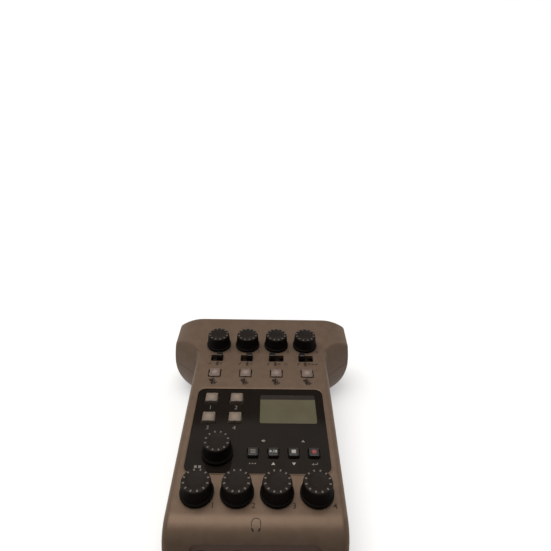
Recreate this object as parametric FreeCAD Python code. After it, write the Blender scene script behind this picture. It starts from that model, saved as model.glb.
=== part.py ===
import FreeCAD, Part
import math
import os

from FreeCAD import Vector

# Podcast recorder, in millimetres. X runs from left to right, Y from the front edge
# to the back and Z up from the table. Shapes are built with Y = 0 at the front edge
# and moved forward by half the length when they are saved, so that the origin of the
# saved parts is the middle of the base.

# Outer form of the two shells: a body, and a wider head behind two slanting flanks
LENGTH = 155.0
CONNECTOR_PROUD = 1.5
SHELL_LENGTH = LENGTH - CONNECTOR_PROUD
HEAD_WIDTH = 112.0
HEAD_DEPTH = 42.7
BODY_WIDTH = 76.4
BODY_FLARE = 2.0
NECK_RADIUS = 4.0
PANEL_TILT = 6.36
PANEL_RISE = 24.0
NOSE_RADIUS = 12.8
CROWN_RADIUS = 26.0
CROWN_MARGIN = 0.2
RIM_RADIUS = 3.0
GROUND_GAP = 1.8
WALL = 2.2

# The outer walls are widest at the waist and curve inward above and below it
WAIST_Z = 22.1
BODY_RISE_RADIUS = 400.0
BODY_FALL_RADIUS = 160.0
SIDE_RISE_RADIUS = 150.0
FLANK_RISE_RADIUS = 25.4
HEAD_FALL_RADIUS = 32.0
FLANK_SLANT = 45.0
WALL_ARC = 45.0
WALL_REACH = 20.0
CLEAR_ANGLE = 20.0

# Seam between the shells, which climbs a little towards the back
SEAM_RISE = 16.0
SEAM_TILT = 2.8
SEAM_GAP = 0.2

# Locating lip of the bottom shell inside the top shell
LIP_THICKNESS = 1.0
LIP_RISE = 1.5
LIP_ROOT = 2.5
LIP_BITE = 0.6

# General clearances
GAP = 0.3
FINE_GAP = 0.15
RUNNING_GAP = 0.05

# Where each row of controls stands along the panel, as its share of the way back
HEADPHONE_SHARE = 0.131
WINDOW_FRONT_SHARE = 0.1961
LEVEL_SHARE = 0.2658
KEY_SHARE = 0.2671
PAD_SHARES = (0.4948, 0.4065)
SCREEN_SHARE = 0.4506
WINDOW_BACK_SHARE = 0.5439
MUTE_SHARE = 0.6265
SWITCH_SHARE = 0.7129
GAIN_SHARE = 0.7916

# Columns of the controls
COLUMNS = 4
COLUMN_PITCH = 17.7
HEADPHONE_KNOB_EDGE = 12.5
LEVEL_X = -19.2
PAD_COLUMNS = (-25.9, -12.5)
KEY_LEFT = -2.55
KEY_PITCH = 9.6

# Control window, the dark plate let into the top shell
WINDOW_MARGIN = 4.87
WINDOW_RADIUS = 4.0
WINDOW_THICKNESS = 1.0

# Display seen through the control window
SCREEN_X = 14.75
SCREEN_WIDTH = 29.3
SCREEN_DEPTH = 20.1
SCREEN_RADIUS = 1.2
SCREEN_RECESS = 1.3
DISPLAY_BORDER = 2.4
DISPLAY_THICKNESS = 2.8
DISPLAY_RAIL_WIDTH = 2.0
DISPLAY_RAIL_INSET = 2.0

# Knobs, and the potentiometers whose shafts they turn on
KNOB_SKIRT_DIAMETER = 14.5
KNOB_SKIRT_HEIGHT = 1.3
KNOB_CAP_DIAMETER = 13.7
KNOB_TOP_DIAMETER = 12.0
KNOB_HEIGHT = 8.7
KNOB_FLOAT = 0.6
KNOB_EDGE_RADIUS = 0.5
POT_SHAFT_DIAMETER = 3.5
POT_SHAFT_RISE = 6.0
POT_SHAFT_GAP = 0.5
POT_WIDTH = 9.5
POT_DEPTH = 8.4
POT_TOP = -3.4
POT_CORNER_RADIUS = 0.5

# Push buttons: sound pads, transport keys and mute buttons
PAD_WIDTH = 7.1
PAD_DEPTH = 6.9
PAD_PROUD = 1.7
KEY_SIZE = 5.0
KEY_PROUD = 1.5
KEY_GAP = 0.45
MUTE_WIDTH = 6.4
MUTE_DEPTH = 6.6
MUTE_PROUD = 0.9
MUTE_SIDE_GAP = 0.5
BUTTON_CORNER_RADIUS = 0.8
BUTTON_TOP_RADIUS = 0.4
BUTTON_TRAVEL = 0.6
BUTTON_FLANGE = 0.9
BUTTON_FLANGE_THICKNESS = 0.8
BUTTON_STEM_DIAMETER = 2.6
TACT_SIZE = 6.0
TACT_HEIGHT = 3.3
TACT_PLUNGER_DIAMETER = 3.0
TACT_PLUNGER_HEIGHT = 0.6
TACT_CORNER_RADIUS = 0.4

# Slide switches of the inputs: travel and the end at which each lever rests
SWITCH_TRAVELS = (3.2, 3.2, 4.8, 4.8)
SWITCH_REST_SIDES = (1, 1, -1, -1)
SWITCH_SLOT_DEPTH = 5.7
LEVER_WIDTH = 3.5
LEVER_DEPTH = 3.3
LEVER_PROUD = 3.4
LEVER_END_GAP = 0.25
LEVER_EDGE_RADIUS = 0.35
LEVER_TOP_RADIUS = 0.28
SLIDER_OVERLAP = 2.6
SLIDER_DEPTH = 6.8
SLIDER_THICKNESS = 0.9
SWITCH_BODY_WIDTH = 12.0
SWITCH_BODY_DEPTH = 5.0
SWITCH_BODY_RADIUS = 0.3

# Main board, parallel to the panel, on pillars under the top shell
BOARD_TOP = -8.5
BOARD_THICKNESS = 1.6
BOARD_SIDE_GAP = 4.6
BOARD_MARGIN = 0.3
BOARD_CORNER_RADIUS = 1.0
PILLAR_DIAMETER = 4.0
PILLAR_SETBACK = 1.7
MIDDLE_PILLAR_X = 29.5
MIDDLE_PILLAR_SHARE = 0.3226

# Screws, the posts of the case that the case screws join, and the screws of the boards
POST_DIAMETER = 5.2
POST_SIDE_INSET = 4.4
POST_ROWS = (22.0, 88.5)
HEAD_POST_GAP = 4.6
HEAD_POST_SETBACK = 29.5
CASE_SCREW_DIAMETER = 1.9
CASE_SCREW_HEAD_DIAMETER = 3.4
CASE_SCREW_HEAD_HEIGHT = 1.4
CASE_SCREW_HEAD_Z = 8.0
CASE_SCREW_BITE = 5.0
BOARD_SCREW_DIAMETER = 1.6
BOARD_SCREW_HEAD_DIAMETER = 3.2
BOARD_SCREW_HEAD_HEIGHT = 1.0
BOARD_SCREW_BITE = 4.0

# Headphone sockets in the front
HEADPHONE_PITCH = 14.7
HEADPHONE_Z = 11.6
JACK_BORE_DIAMETER = 3.6
JACK_BORE_DEPTH = 12.0
JACK_NOSE_DIAMETER = 6.4
JACK_BODY_WIDTH = 7.6
JACK_BODY_HEIGHT = 6.4
JACK_BODY_DEPTH = 11.4
FRONT_PLATE_WIDTH = 53.8
FRONT_PLATE_TOP = 18.9
FRONT_PLATE_BOTTOM = 6.2
FRONT_PLATE_RADIUS = 3.4
FRONT_PLATE_FACE = 2.3
FRONT_PLATE_THICKNESS = 2.0
JACK_BOARD_WIDTH = 58.0
JACK_BOARD_BACK = 20.0
JACK_NOSE_ROOT = 1.0

# Input sockets in the back, as many as the plate round them holds
INPUT_PITCH = 24.8
INPUT_Z = 18.0
INPUT_BARREL_DIAMETER = 22.0
INPUT_BORE_DIAMETER = 19.2
INPUT_ISLAND_DIAMETER = 15.4
INPUT_BORE_DEPTH = 15.0
INPUT_DEPTH = 20.6
CONTACT_DIAMETER = 2.5
CONTACT_RADIUS = 4.6
CONTACT_ANGLES = (45.0, 135.0, 270.0)
CONTACT_LENGTH = 12.0
REAR_PLATE_MARGIN = 6.5
REAR_PLATE_WIDTH = HEAD_WIDTH - 2 * REAR_PLATE_MARGIN
REAR_PLATE_LAND = 0.5
REAR_PLATE_BOTTOM = 5.6
REAR_PLATE_TOP = 33.4
REAR_PLATE_RADIUS = 2.5
REAR_PLATE_THICKNESS = 3.5
LATCH_WIDTH = 14.3
LATCH_DEPTH = 8.0
LATCH_TRAVEL = 1.0
LATCH_EDGE_RADIUS = 0.6
INPUT_BOARD_MARGIN = 1.7
INPUT_BOARD_BOTTOM = 7.4
INPUT_BOARD_TOP = 26.0
INPUT_RIB_THICKNESS = 2.0

# Side sockets and their board
SIDE_BOARD_TOP = 12.0
SIDE_BOARD_FRONT = 25.2
SIDE_BOARD_BACK = 58.0
SIDE_BOARD_GAP = 0.8
SIDE_PILLAR_INSET = 5.0
SIDE_PILLAR_ROWS = (27.5, 55.0)
MIDDLE_SIDE_PILLAR_ROW = 28.5
USB_ROWS = (41.0, 53.5)
USB_WIDTH = 8.94
USB_HEIGHT = 3.2
USB_DEPTH = 7.4
USB_WALL = 0.3
USB_TONGUE_WIDTH = 6.7
USB_TONGUE_HEIGHT = 0.7
USB_TONGUE_SETBACK = 1.0
USB_BACK_WALL = 1.0
ROUND_END = 0.499
SOCKET_RECESS = 0.5
CARD_ROW = 38.5
CARD_SOCKET_WIDTH = 26.0
CARD_SOCKET_HEIGHT = 3.2
CARD_SOCKET_DEPTH = 27.0
CARD_SLOT_WIDTH = 24.4
CARD_SLOT_HEIGHT = 2.3
CARD_SLOT_DEPTH = 24.0
PHONE_ROW = 54.6
PHONE_NOSE_DIAMETER = 5.0
PHONE_BODY_WIDTH = 6.2
PHONE_BODY_HEIGHT = 5.2
POWER_ROW = 30.0
POWER_RADIUS = 0.3
POWER_TRAVEL = 3.0
POWER_KNOB_WIDTH = 3.2
POWER_KNOB_HEIGHT = 2.4
POWER_KNOB_PROUD = 1.2
POWER_SLIDER_THICKNESS = 0.9
POWER_SLIDER_MARGIN = 0.3
POWER_BODY_WIDTH = 9.0
POWER_BODY_DEPTH = 4.0
POWER_BODY_HEIGHT = 3.6

# Batteries
CELL_DIAMETER = 14.2
CELL_LENGTH = 50.3
CELL_PITCH = 14.8
CELL_TIP_DIAMETER = 5.4
CELL_TIP_LENGTH = 1.0
CELL_SETBACK = 54.4
BATTERY_BOX_WALL = 1.2
BATTERY_BOX_END_ROOM = 1.1
CONTACT_PLATE_THICKNESS = 0.4
CONTACT_PLATE_LIFT = 2.0
COVER_THICKNESS = 1.4
COVER_TRAVEL = 3.8
COVER_LEDGE = 1.7
COVER_GAP = 0.25
COVER_RADIUS = 1.0

# Feet
FOOT_DIAMETER = 9.0
FOOT_POCKET = 0.5
FRONT_FOOT = (23.0, 17.0)
HEAD_FOOT_INSET = 18.0

HEADPHONE_ROW = HEADPHONE_SHARE * LENGTH
WINDOW_FRONT = WINDOW_FRONT_SHARE * LENGTH
LEVEL_ROW = LEVEL_SHARE * LENGTH
KEY_ROW = KEY_SHARE * LENGTH
MIDDLE_PILLAR_ROW = MIDDLE_PILLAR_SHARE * LENGTH
PAD_ROWS = [share * LENGTH for share in PAD_SHARES]
SCREEN_ROW = SCREEN_SHARE * LENGTH
WINDOW_BACK = WINDOW_BACK_SHARE * LENGTH
MUTE_ROW = MUTE_SHARE * LENGTH
SWITCH_ROW = SWITCH_SHARE * LENGTH
GAIN_ROW = GAIN_SHARE * LENGTH
CELL_FRONT = LENGTH - CELL_SETBACK
NECK_Y = LENGTH - HEAD_DEPTH
NECK_WIDTH = BODY_WIDTH + BODY_FLARE
TAN_TILT = math.tan(math.radians(PANEL_TILT))
COS_TILT = math.cos(math.radians(PANEL_TILT))
TAN_SEAM = math.tan(math.radians(SEAM_TILT))
INPUT_MOUTH = LENGTH - 2 * GAP
INPUT_BACK = INPUT_MOUTH - INPUT_DEPTH
INPUT_SPACE = INPUT_BARREL_DIAMETER + 2 * GAP + 2 * REAR_PLATE_LAND
INPUTS = 1 + int((REAR_PLATE_WIDTH - INPUT_SPACE) / INPUT_PITCH)
FAR = 200.0


def box(x0, x1, y0, y1, z0, z1):
    return Part.makeBox(x1 - x0, y1 - y0, z1 - z0, Vector(x0, y0, z0))


def cylinder(radius, x, y, z0, z1):
    return Part.makeCylinder(radius, z1 - z0, Vector(x, y, z0))


def cylinder_y(radius, x, z, y0, y1):
    return Part.makeCylinder(radius, y1 - y0, Vector(x, y0, z), Vector(0, 1, 0))


def rounded_wire(corners, z=0.0):
    """Closed wire through corners (x, y, radius), each rounded by an arc."""
    points = [Vector(x, y, z) for x, y, radius in corners]
    arcs = []
    for i, (x, y, radius) in enumerate(corners):
        to_last = (points[i - 1] - points[i]).normalize()
        to_next = (points[(i + 1) % len(points)] - points[i]).normalize()
        half = to_last.getAngle(to_next) / 2
        reach = radius / math.tan(half)
        middle = (to_last + to_next).normalize() * (radius / math.sin(half) - radius)
        arcs.append((points[i] + to_last * reach, points[i] + middle, points[i] + to_next * reach))
    edges = []
    for i, (start, middle, end) in enumerate(arcs):
        if corners[i][2] > 0:
            edges.append(Part.Arc(start, middle, end).toShape())
        edges.append(Part.LineSegment(end, arcs[(i + 1) % len(arcs)][0]).toShape())
    return Part.Wire(edges)


def rounded_block(width, depth, radius, z0, z1, x=0.0, y=0.0):
    """Upright prism of a rounded rectangle."""
    w, d = width / 2, depth / 2
    corners = [(x + i * w, y + j * d, radius) for i, j in ((-1, -1), (1, -1), (1, 1), (-1, 1))]
    return Part.Face(rounded_wire(corners, z0)).extrude(Vector(0, 0, z1 - z0))


def upright(shape, y):
    """Stand a prism drawn in plan up, so that its plan Y becomes Z, starting at y."""
    shape.rotate(Vector(0, 0, 0), Vector(1, 0, 0), 90)
    shape.translate(Vector(0, y, 0))
    return shape


def facing_block(width, z0, z1, radius, y0, y1, x=0.0):
    """Rounded rectangle in the XZ plane, from y0 to y1."""
    block = rounded_block(width, z1 - z0, radius, -(y1 - y0), 0, x, (z0 + z1) / 2)
    return upright(block, y0)


def seat(shape, x, y):
    """Put a shape drawn about its own origin on the panel, its Z along the normal."""
    tilt = FreeCAD.Rotation(Vector(1, 0, 0), PANEL_TILT)
    place = FreeCAD.Placement(Vector(x, y, PANEL_RISE + y * TAN_TILT), tilt)
    placed = shape.copy()
    placed.transformShape(place.toMatrix(), False)
    return placed


def mirrored(places):
    """Every place and its twin across the middle plane."""
    return [(side * x, y) for x, y in places for side in ((1, -1) if x else (1,))]


def fuse(shapes):
    if len(shapes) == 1:
        return shapes[0]
    return shapes[0].fuse(shapes[1:]).removeSplitter()


def save(name, shape):
    moved = shape.copy()
    moved.translate(Vector(0, -LENGTH / 2, 0))
    moved.exportStep(f"parts/{name}.step")


def column_x(i):
    return (i - (COLUMNS - 1) / 2) * COLUMN_PITCH


def input_x(i):
    return (i - (INPUTS - 1) / 2) * INPUT_PITCH


def headphone_x(i):
    return (i - (COLUMNS - 1) / 2) * HEADPHONE_PITCH


def side_x(y, z=WAIST_Z):
    """Half width of the body's outside at y, at a height up to the waist."""
    half = (BODY_WIDTH + BODY_FLARE * y / NECK_Y) / 2
    return half - BODY_FALL_RADIUS + math.sqrt(BODY_FALL_RADIUS ** 2 - (WAIST_Z - z) ** 2)


def inner_x(y0, y1, z):
    """Half width of the room inside the body between y0 and y1."""
    return min(side_x(y0, z), side_x(y1, z)) - WALL


def head_inner_x(y, z):
    """Half width of the room inside the head at y, at a height up to the waist."""
    fall = HEAD_FALL_RADIUS - math.sqrt(HEAD_FALL_RADIUS ** 2 - (WAIST_Z - z) ** 2) + WALL
    slant = math.radians(FLANK_SLANT)
    flank = NECK_WIDTH / 2 + (y - NECK_Y) / math.tan(slant) - fall / math.sin(slant)
    return min(HEAD_WIDTH / 2 - fall, flank)


def seam_z(y):
    return SEAM_RISE + y * TAN_SEAM


def headphone_knob_x(i):
    pitch = (side_x(HEADPHONE_ROW) - HEADPHONE_KNOB_EDGE) * 2 / (COLUMNS - 1)
    return (i - (COLUMNS - 1) / 2) * pitch


KNOB_PLACES = [(column_x(i), GAIN_ROW) for i in range(COLUMNS)]
KNOB_PLACES += [(headphone_knob_x(i), HEADPHONE_ROW) for i in range(COLUMNS)]
KNOB_PLACES += [(LEVEL_X, LEVEL_ROW)]
PAD_PLACES = [(x, y) for y in PAD_ROWS for x in PAD_COLUMNS]
KEY_PLACES = [(KEY_LEFT + i * KEY_PITCH, KEY_ROW) for i in range(4)]
MUTE_PLACES = [(column_x(i), MUTE_ROW) for i in range(COLUMNS)]
BUTTONS = [(place, PAD_WIDTH, PAD_DEPTH, GAP, GAP) for place in PAD_PLACES]
BUTTONS += [(place, KEY_SIZE, KEY_SIZE, KEY_GAP, KEY_GAP) for place in KEY_PLACES]
BUTTONS += [(place, MUTE_WIDTH, MUTE_DEPTH, MUTE_SIDE_GAP, FINE_GAP) for place in MUTE_PLACES]
HEADPHONE_KNOB_PITCH = headphone_knob_x(1) - headphone_knob_x(0)
PILLARS = mirrored([(HEADPHONE_KNOB_PITCH, HEADPHONE_ROW), (MIDDLE_PILLAR_X, MIDDLE_PILLAR_ROW),
                    (COLUMN_PITCH, MUTE_ROW), (COLUMN_PITCH, GAIN_ROW + PILLAR_SETBACK)])
HEAD_POST_X = column_x(COLUMNS - 1) + POT_WIDTH / 2 + HEAD_POST_GAP + POST_DIAMETER / 2
POSTS = mirrored([(side_x(y) - POST_SIDE_INSET, y) for y in POST_ROWS] +
                 [(HEAD_POST_X, LENGTH - HEAD_POST_SETBACK)])
FEET = mirrored([FRONT_FOOT, (HEAD_WIDTH / 2 - HEAD_FOOT_INSET, LENGTH - HEAD_FOOT_INSET)])


def wall_arc(radius, side, inset):
    """Arc of a wall's profile from the waist up (side 1) or down (-1), and where its tangent ends."""
    turn = math.radians(WALL_ARC)
    reach = radius - inset
    points = [Vector(reach * (math.cos(a) - 1) - inset, 0, WAIST_Z + side * reach * math.sin(a))
              for a in (0, turn / 2, turn)]
    return points, points[2] + Vector(-math.sin(turn), 0, side * math.cos(turn)) * WALL_REACH


def wall_side(inset, rise_radius, fall_radius, x, y, turn):
    """Everything inside one wall that passes (x, y) at the waist and faces the angle turn."""
    up, up_end = wall_arc(rise_radius, 1, inset)
    down, down_end = wall_arc(fall_radius, -1, inset)
    corners = [up[2], up_end, Vector(-FAR, 0, up_end.z), Vector(-FAR, 0, down_end.z), down_end, down[2]]
    edges = [Part.Arc(*up).toShape(), Part.Arc(*down).toShape()]
    edges += [Part.LineSegment(start, end).toShape() for start, end in zip(corners, corners[1:])]
    face = Part.Face(Part.Wire(Part.__sortEdges__(edges)))
    face.translate(Vector(0, -FAR, 0))
    inside = face.extrude(Vector(0, 2 * FAR, 0))
    inside.rotate(Vector(0, 0, 0), Vector(0, 0, 1), turn)
    inside.translate(Vector(x, y, 0))
    return inside


def wall_pair(inset, rise_radius, fall_radius, x, y, slant):
    """Everything between a wall on the right and its twin on the left."""
    right = wall_side(inset, rise_radius, fall_radius, x, y, -slant)
    return right.common(wall_side(inset, rise_radius, fall_radius, -x, y, slant - 180))


def side_profile(inset):
    """Everything under the panel and behind the nose, as seen from the side."""
    top = PANEL_RISE - inset / COS_TILT
    radius = NOSE_RADIUS - inset
    reach = radius / math.tan(math.radians(90 + PANEL_TILT) / 2)
    corner_z = top + inset * TAN_TILT
    low = Vector(-FAR, inset, corner_z - reach)
    high = Vector(-FAR, inset + reach * COS_TILT, corner_z + reach * math.sin(math.radians(PANEL_TILT)))
    turn = math.radians(180 - (90 - PANEL_TILT) / 2)
    middle = low + Vector(0, radius + radius * math.cos(turn), radius * math.sin(turn))
    back = Vector(-FAR, FAR, top + FAR * TAN_TILT)
    foot_back = Vector(-FAR, FAR, -FAR)
    foot_front = Vector(-FAR, inset, -FAR)
    edges = [Part.Arc(low, middle, high).toShape()]
    for start, end in ((high, back), (back, foot_back), (foot_back, foot_front), (foot_front, low)):
        edges.append(Part.LineSegment(start, end).toShape())
    return Part.Face(Part.Wire(edges)).extrude(Vector(2 * FAR, 0, 0))


def crown_profile(inset):
    """Everything under the panel where the tops of the wings curve down outward."""
    flat = NECK_WIDTH / 2 + CROWN_MARGIN
    radius = CROWN_RADIUS - inset
    turn = math.radians(WALL_ARC)
    edges = [Part.LineSegment(Vector(-flat, 0, 0), Vector(flat, 0, 0)).toShape()]
    ends = []
    for side in (1, -1):
        points = [Vector(side * (flat + radius * math.sin(a)), 0, radius * math.cos(a) - radius)
                  for a in (0, turn / 2, turn)]
        edges.append(Part.Arc(*points).toShape())
        reach = Vector(side * math.cos(turn), 0, -math.sin(turn)) * WALL_REACH
        edges.append(Part.LineSegment(points[2], points[2] + reach).toShape())
        ends.append(points[2] + reach)
    feet = [Vector(end.x, 0, -FAR) for end in ends]
    for start, end in ((ends[0], feet[0]), (feet[0], feet[1]), (feet[1], ends[1])):
        edges.append(Part.LineSegment(start, end).toShape())
    face = Part.Face(Part.Wire(Part.__sortEdges__(edges)))
    face.translate(Vector(0, 0, PANEL_RISE - inset / COS_TILT))
    return face.extrude(Vector(0, FAR, FAR * TAN_TILT))


def outer_form(inset):
    """The whole case as one sharp-edged solid, with its outside moved inward by the inset."""
    taper = math.degrees(math.atan(BODY_FLARE / 2 / NECK_Y))
    body = wall_pair(inset, BODY_RISE_RADIUS, BODY_FALL_RADIUS, BODY_WIDTH / 2, 0, taper)
    sides = wall_pair(inset, SIDE_RISE_RADIUS, HEAD_FALL_RADIUS, HEAD_WIDTH / 2, 0, 0)
    flanks = wall_pair(inset, FLANK_RISE_RADIUS, HEAD_FALL_RADIUS, NECK_WIDTH / 2, NECK_Y, FLANK_SLANT)
    form = body.fuse(sides.common(flanks))
    form = form.common(box(-FAR, FAR, 0, SHELL_LENGTH - inset, GROUND_GAP + inset, FAR))
    return form.common(side_profile(inset)).common(crown_profile(inset)).removeSplitter().Solids[0]


def corner_edges(form, outward):
    """Edges where two faces meet at a clear angle, outward or inward."""
    chosen = []
    for edge in form.Edges:
        middle = edge.valueAt((edge.FirstParameter + edge.LastParameter) / 2)
        normals = [face.normalAt(*face.Surface.parameter(middle))
                   for face in form.ancestorsOfType(edge, Part.Face)]
        if len(normals) != 2 or math.degrees(normals[0].getAngle(normals[1])) < CLEAR_ANGLE:
            continue
        aside = middle + (normals[0] - normals[1]).normalize() * RUNNING_GAP
        if form.isInside(aside, RUNNING_GAP / 10, True) != outward:
            chosen.append(edge)
    return chosen


def rounded_form():
    """The case with the necks filled out and every outward edge rounded."""
    form = outer_form(0.0)
    form = form.makeFillet(NECK_RADIUS, corner_edges(form, False))
    return form.makeFillet(RIM_RADIUS, corner_edges(form, True)).Solids[0]


def below_seam(offset):
    """Everything under the seam, moved up by the offset."""
    block = box(-FAR, FAR, -FAR, FAR, -FAR, 0)
    block.rotate(Vector(0, 0, 0), Vector(1, 0, 0), SEAM_TILT)
    block.translate(Vector(0, 0, SEAM_RISE + offset))
    return block


def knob_shape():
    """Cap that widens downward to a low skirt, bored for the shaft below."""
    cap = Part.makeCone(KNOB_CAP_DIAMETER / 2, KNOB_TOP_DIAMETER / 2, KNOB_HEIGHT - KNOB_FLOAT,
                        Vector(0, 0, KNOB_FLOAT))
    cap = cap.makeFillet(KNOB_EDGE_RADIUS, top_edges(cap, KNOB_HEIGHT))
    skirt = cylinder(KNOB_SKIRT_DIAMETER / 2, 0, 0, KNOB_FLOAT, KNOB_FLOAT + KNOB_SKIRT_HEIGHT)
    bore = cylinder(POT_SHAFT_DIAMETER / 2 + RUNNING_GAP, 0, 0, KNOB_FLOAT, POT_SHAFT_RISE + GAP)
    return fuse([cap, skirt]).cut(bore)


def top_edges(shape, height):
    return [edge for edge in shape.Edges if edge.BoundBox.ZMin > height - RUNNING_GAP]


def button_shape(width, depth, proud):
    """Key cap with a retaining flange under the panel and a stem over its switch."""
    flange_top = -(WALL + GAP)
    flange_foot = flange_top - BUTTON_FLANGE_THICKNESS
    tact_top = BOARD_TOP + TACT_HEIGHT + TACT_PLUNGER_HEIGHT
    cap = rounded_block(width, depth, BUTTON_CORNER_RADIUS, flange_top, proud)
    cap = cap.makeFillet(BUTTON_TOP_RADIUS, top_edges(cap, proud))
    flange = rounded_block(width + 2 * BUTTON_FLANGE, depth + 2 * BUTTON_FLANGE,
                           BUTTON_CORNER_RADIUS, flange_foot, flange_top)
    stem = cylinder(BUTTON_STEM_DIAMETER / 2, 0, 0, tact_top + BUTTON_TRAVEL + FINE_GAP, flange_foot)
    return fuse([cap, flange, stem])


def button_hole(button):
    place, width, depth, gap_x, gap_y = button
    cutter = rounded_block(width + 2 * gap_x, depth + 2 * gap_y, BUTTON_CORNER_RADIUS, -2 * WALL, WALL)
    return seat(cutter, *place)


def switch_slot_width(i):
    return LEVER_WIDTH + SWITCH_TRAVELS[i] + 2 * LEVER_END_GAP


def switch_shape():
    """Upright lever on a thin slider that moves under the panel."""
    slider_top = -(WALL + GAP)
    lever = rounded_block(LEVER_WIDTH, LEVER_DEPTH, LEVER_EDGE_RADIUS, slider_top, LEVER_PROUD)
    lever = lever.makeFillet(LEVER_TOP_RADIUS, top_edges(lever, LEVER_PROUD))
    slider = rounded_block(LEVER_WIDTH + 2 * SLIDER_OVERLAP, SLIDER_DEPTH, LEVER_EDGE_RADIUS,
                           slider_top - SLIDER_THICKNESS, slider_top)
    return fuse([lever, slider])


def window_solid(width_gap, z0, z1):
    middle = (WINDOW_FRONT + WINDOW_BACK) / 2
    depth = (WINDOW_BACK - WINDOW_FRONT) / COS_TILT
    width = 2 * (side_x(WINDOW_FRONT) - WINDOW_MARGIN + width_gap)
    return seat(rounded_block(width, depth + 2 * width_gap, WINDOW_RADIUS + width_gap, z0, z1), 0, middle)


def screen_hole():
    hole = rounded_block(SCREEN_WIDTH, SCREEN_DEPTH, SCREEN_RADIUS, -2 * WALL, WALL)
    return seat(hole, SCREEN_X, SCREEN_ROW)


def knob_hole(place):
    return seat(cylinder(POT_SHAFT_DIAMETER / 2 + POT_SHAFT_GAP, 0, 0, -2 * WALL, WALL), *place)


def rear_window():
    """Opening in the back of both shells, and in the lip, round the rear plate."""
    return facing_block(REAR_PLATE_WIDTH + 2 * GAP, REAR_PLATE_BOTTOM - GAP, REAR_PLATE_TOP + GAP,
                        REAR_PLATE_RADIUS + GAP, SHELL_LENGTH - 2 * WALL, LENGTH + GAP)


def front_window():
    """Opening in the nose round the front plate."""
    return facing_block(FRONT_PLATE_WIDTH + 2 * FINE_GAP, FRONT_PLATE_BOTTOM - FINE_GAP,
                        FRONT_PLATE_TOP + FINE_GAP, FRONT_PLATE_RADIUS + FINE_GAP,
                        -GAP, FRONT_PLATE_FACE + FRONT_PLATE_THICKNESS)


def case_posts():
    return [cylinder(POST_DIAMETER / 2, x, y, 0, FAR) for x, y in POSTS]


def make_top_shell(outside, inside):
    pillars = [seat(cylinder(PILLAR_DIAMETER / 2, 0, 0, BOARD_TOP, WALL), x, y) for x, y in PILLARS]
    shell = outside.cut(inside.cut(pillars + case_posts())).cut(below_seam(SEAM_GAP / 2))
    cutters = [window_solid(FINE_GAP, -WINDOW_THICKNESS, WALL), screen_hole()]
    cutters += [rear_window(), front_window()]
    cutters += [knob_hole(place) for place in KNOB_PLACES]
    cutters += [button_hole(button) for button in BUTTONS]
    for i in range(COLUMNS):
        slot = rounded_block(switch_slot_width(i), SWITCH_SLOT_DEPTH, LEVER_EDGE_RADIUS, -2 * WALL, WALL)
        cutters.append(seat(slot, column_x(i), SWITCH_ROW))
    pilot_end = BOARD_TOP + BOARD_SCREW_BITE + GAP
    pilot = cylinder(BOARD_SCREW_DIAMETER / 2 + RUNNING_GAP, 0, 0, BOARD_TOP, pilot_end)
    cutters += [seat(pilot, x, y) for x, y in PILLARS]
    cutters += [cylinder(CASE_SCREW_DIAMETER / 2 + RUNNING_GAP, x, y, 0, seam_z(y) + CASE_SCREW_BITE + GAP)
                for x, y in POSTS]
    save("top_shell", shell.cut(cutters))


def side_opening(side, y, z, width, height, radius):
    """Cutter through the side wall: width along Y, height along Z."""
    block = turned_block(width, height, radius, 4 * WALL)
    block.translate(Vector(side * side_x(y, z) - 2 * WALL, y, z))
    return block


def turned_block(width, height, radius, length):
    """Rounded rectangle in the YZ plane, centred, and extruded along +X."""
    block = rounded_block(height, width, radius, 0, length)
    block.rotate(Vector(0, 0, 0), Vector(0, 1, 0), 90)
    return block


def usb_z():
    return SIDE_BOARD_TOP + USB_HEIGHT / 2


def card_z():
    return SIDE_BOARD_TOP + CARD_SOCKET_HEIGHT / 2


def phone_z():
    return SIDE_BOARD_TOP + PHONE_BODY_HEIGHT / 2


def power_z():
    return SIDE_BOARD_TOP + POWER_BODY_HEIGHT / 2


def cell_rows():
    return (CELL_FRONT, CELL_FRONT + CELL_PITCH)


def battery_room():
    """Inside of the battery box: half length in X, front, back and top."""
    half = CELL_LENGTH / 2 + CELL_TIP_LENGTH + BATTERY_BOX_END_ROOM
    front = CELL_FRONT - CELL_DIAMETER / 2 - GAP
    back = CELL_FRONT + CELL_PITCH + CELL_DIAMETER / 2 + GAP
    top = GROUND_GAP + WALL + CELL_DIAMETER + 2 * GAP
    return half, front, back, top


def cover_span():
    """Battery cover in plan: half width, front and back."""
    half, front, back, top = battery_room()
    return half + COVER_LEDGE, front + COVER_TRAVEL, back + COVER_LEDGE


def jack_post_places():
    return mirrored([(HEADPHONE_PITCH, JACK_BOARD_BACK - PILLAR_DIAMETER)])


def side_board_half():
    foot = SIDE_BOARD_TOP - BOARD_THICKNESS
    return inner_x(SIDE_BOARD_FRONT, SIDE_BOARD_BACK, foot) - SIDE_BOARD_GAP


def side_pillar_places():
    x = side_board_half() - SIDE_PILLAR_INSET
    return mirrored([(x, y) for y in SIDE_PILLAR_ROWS] + [(0, MIDDLE_SIDE_PILLAR_ROW)])


def floor_pillar(x, y, top):
    return cylinder(PILLAR_DIAMETER / 2, x, y, GROUND_GAP + WALL / 2, top)


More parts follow.
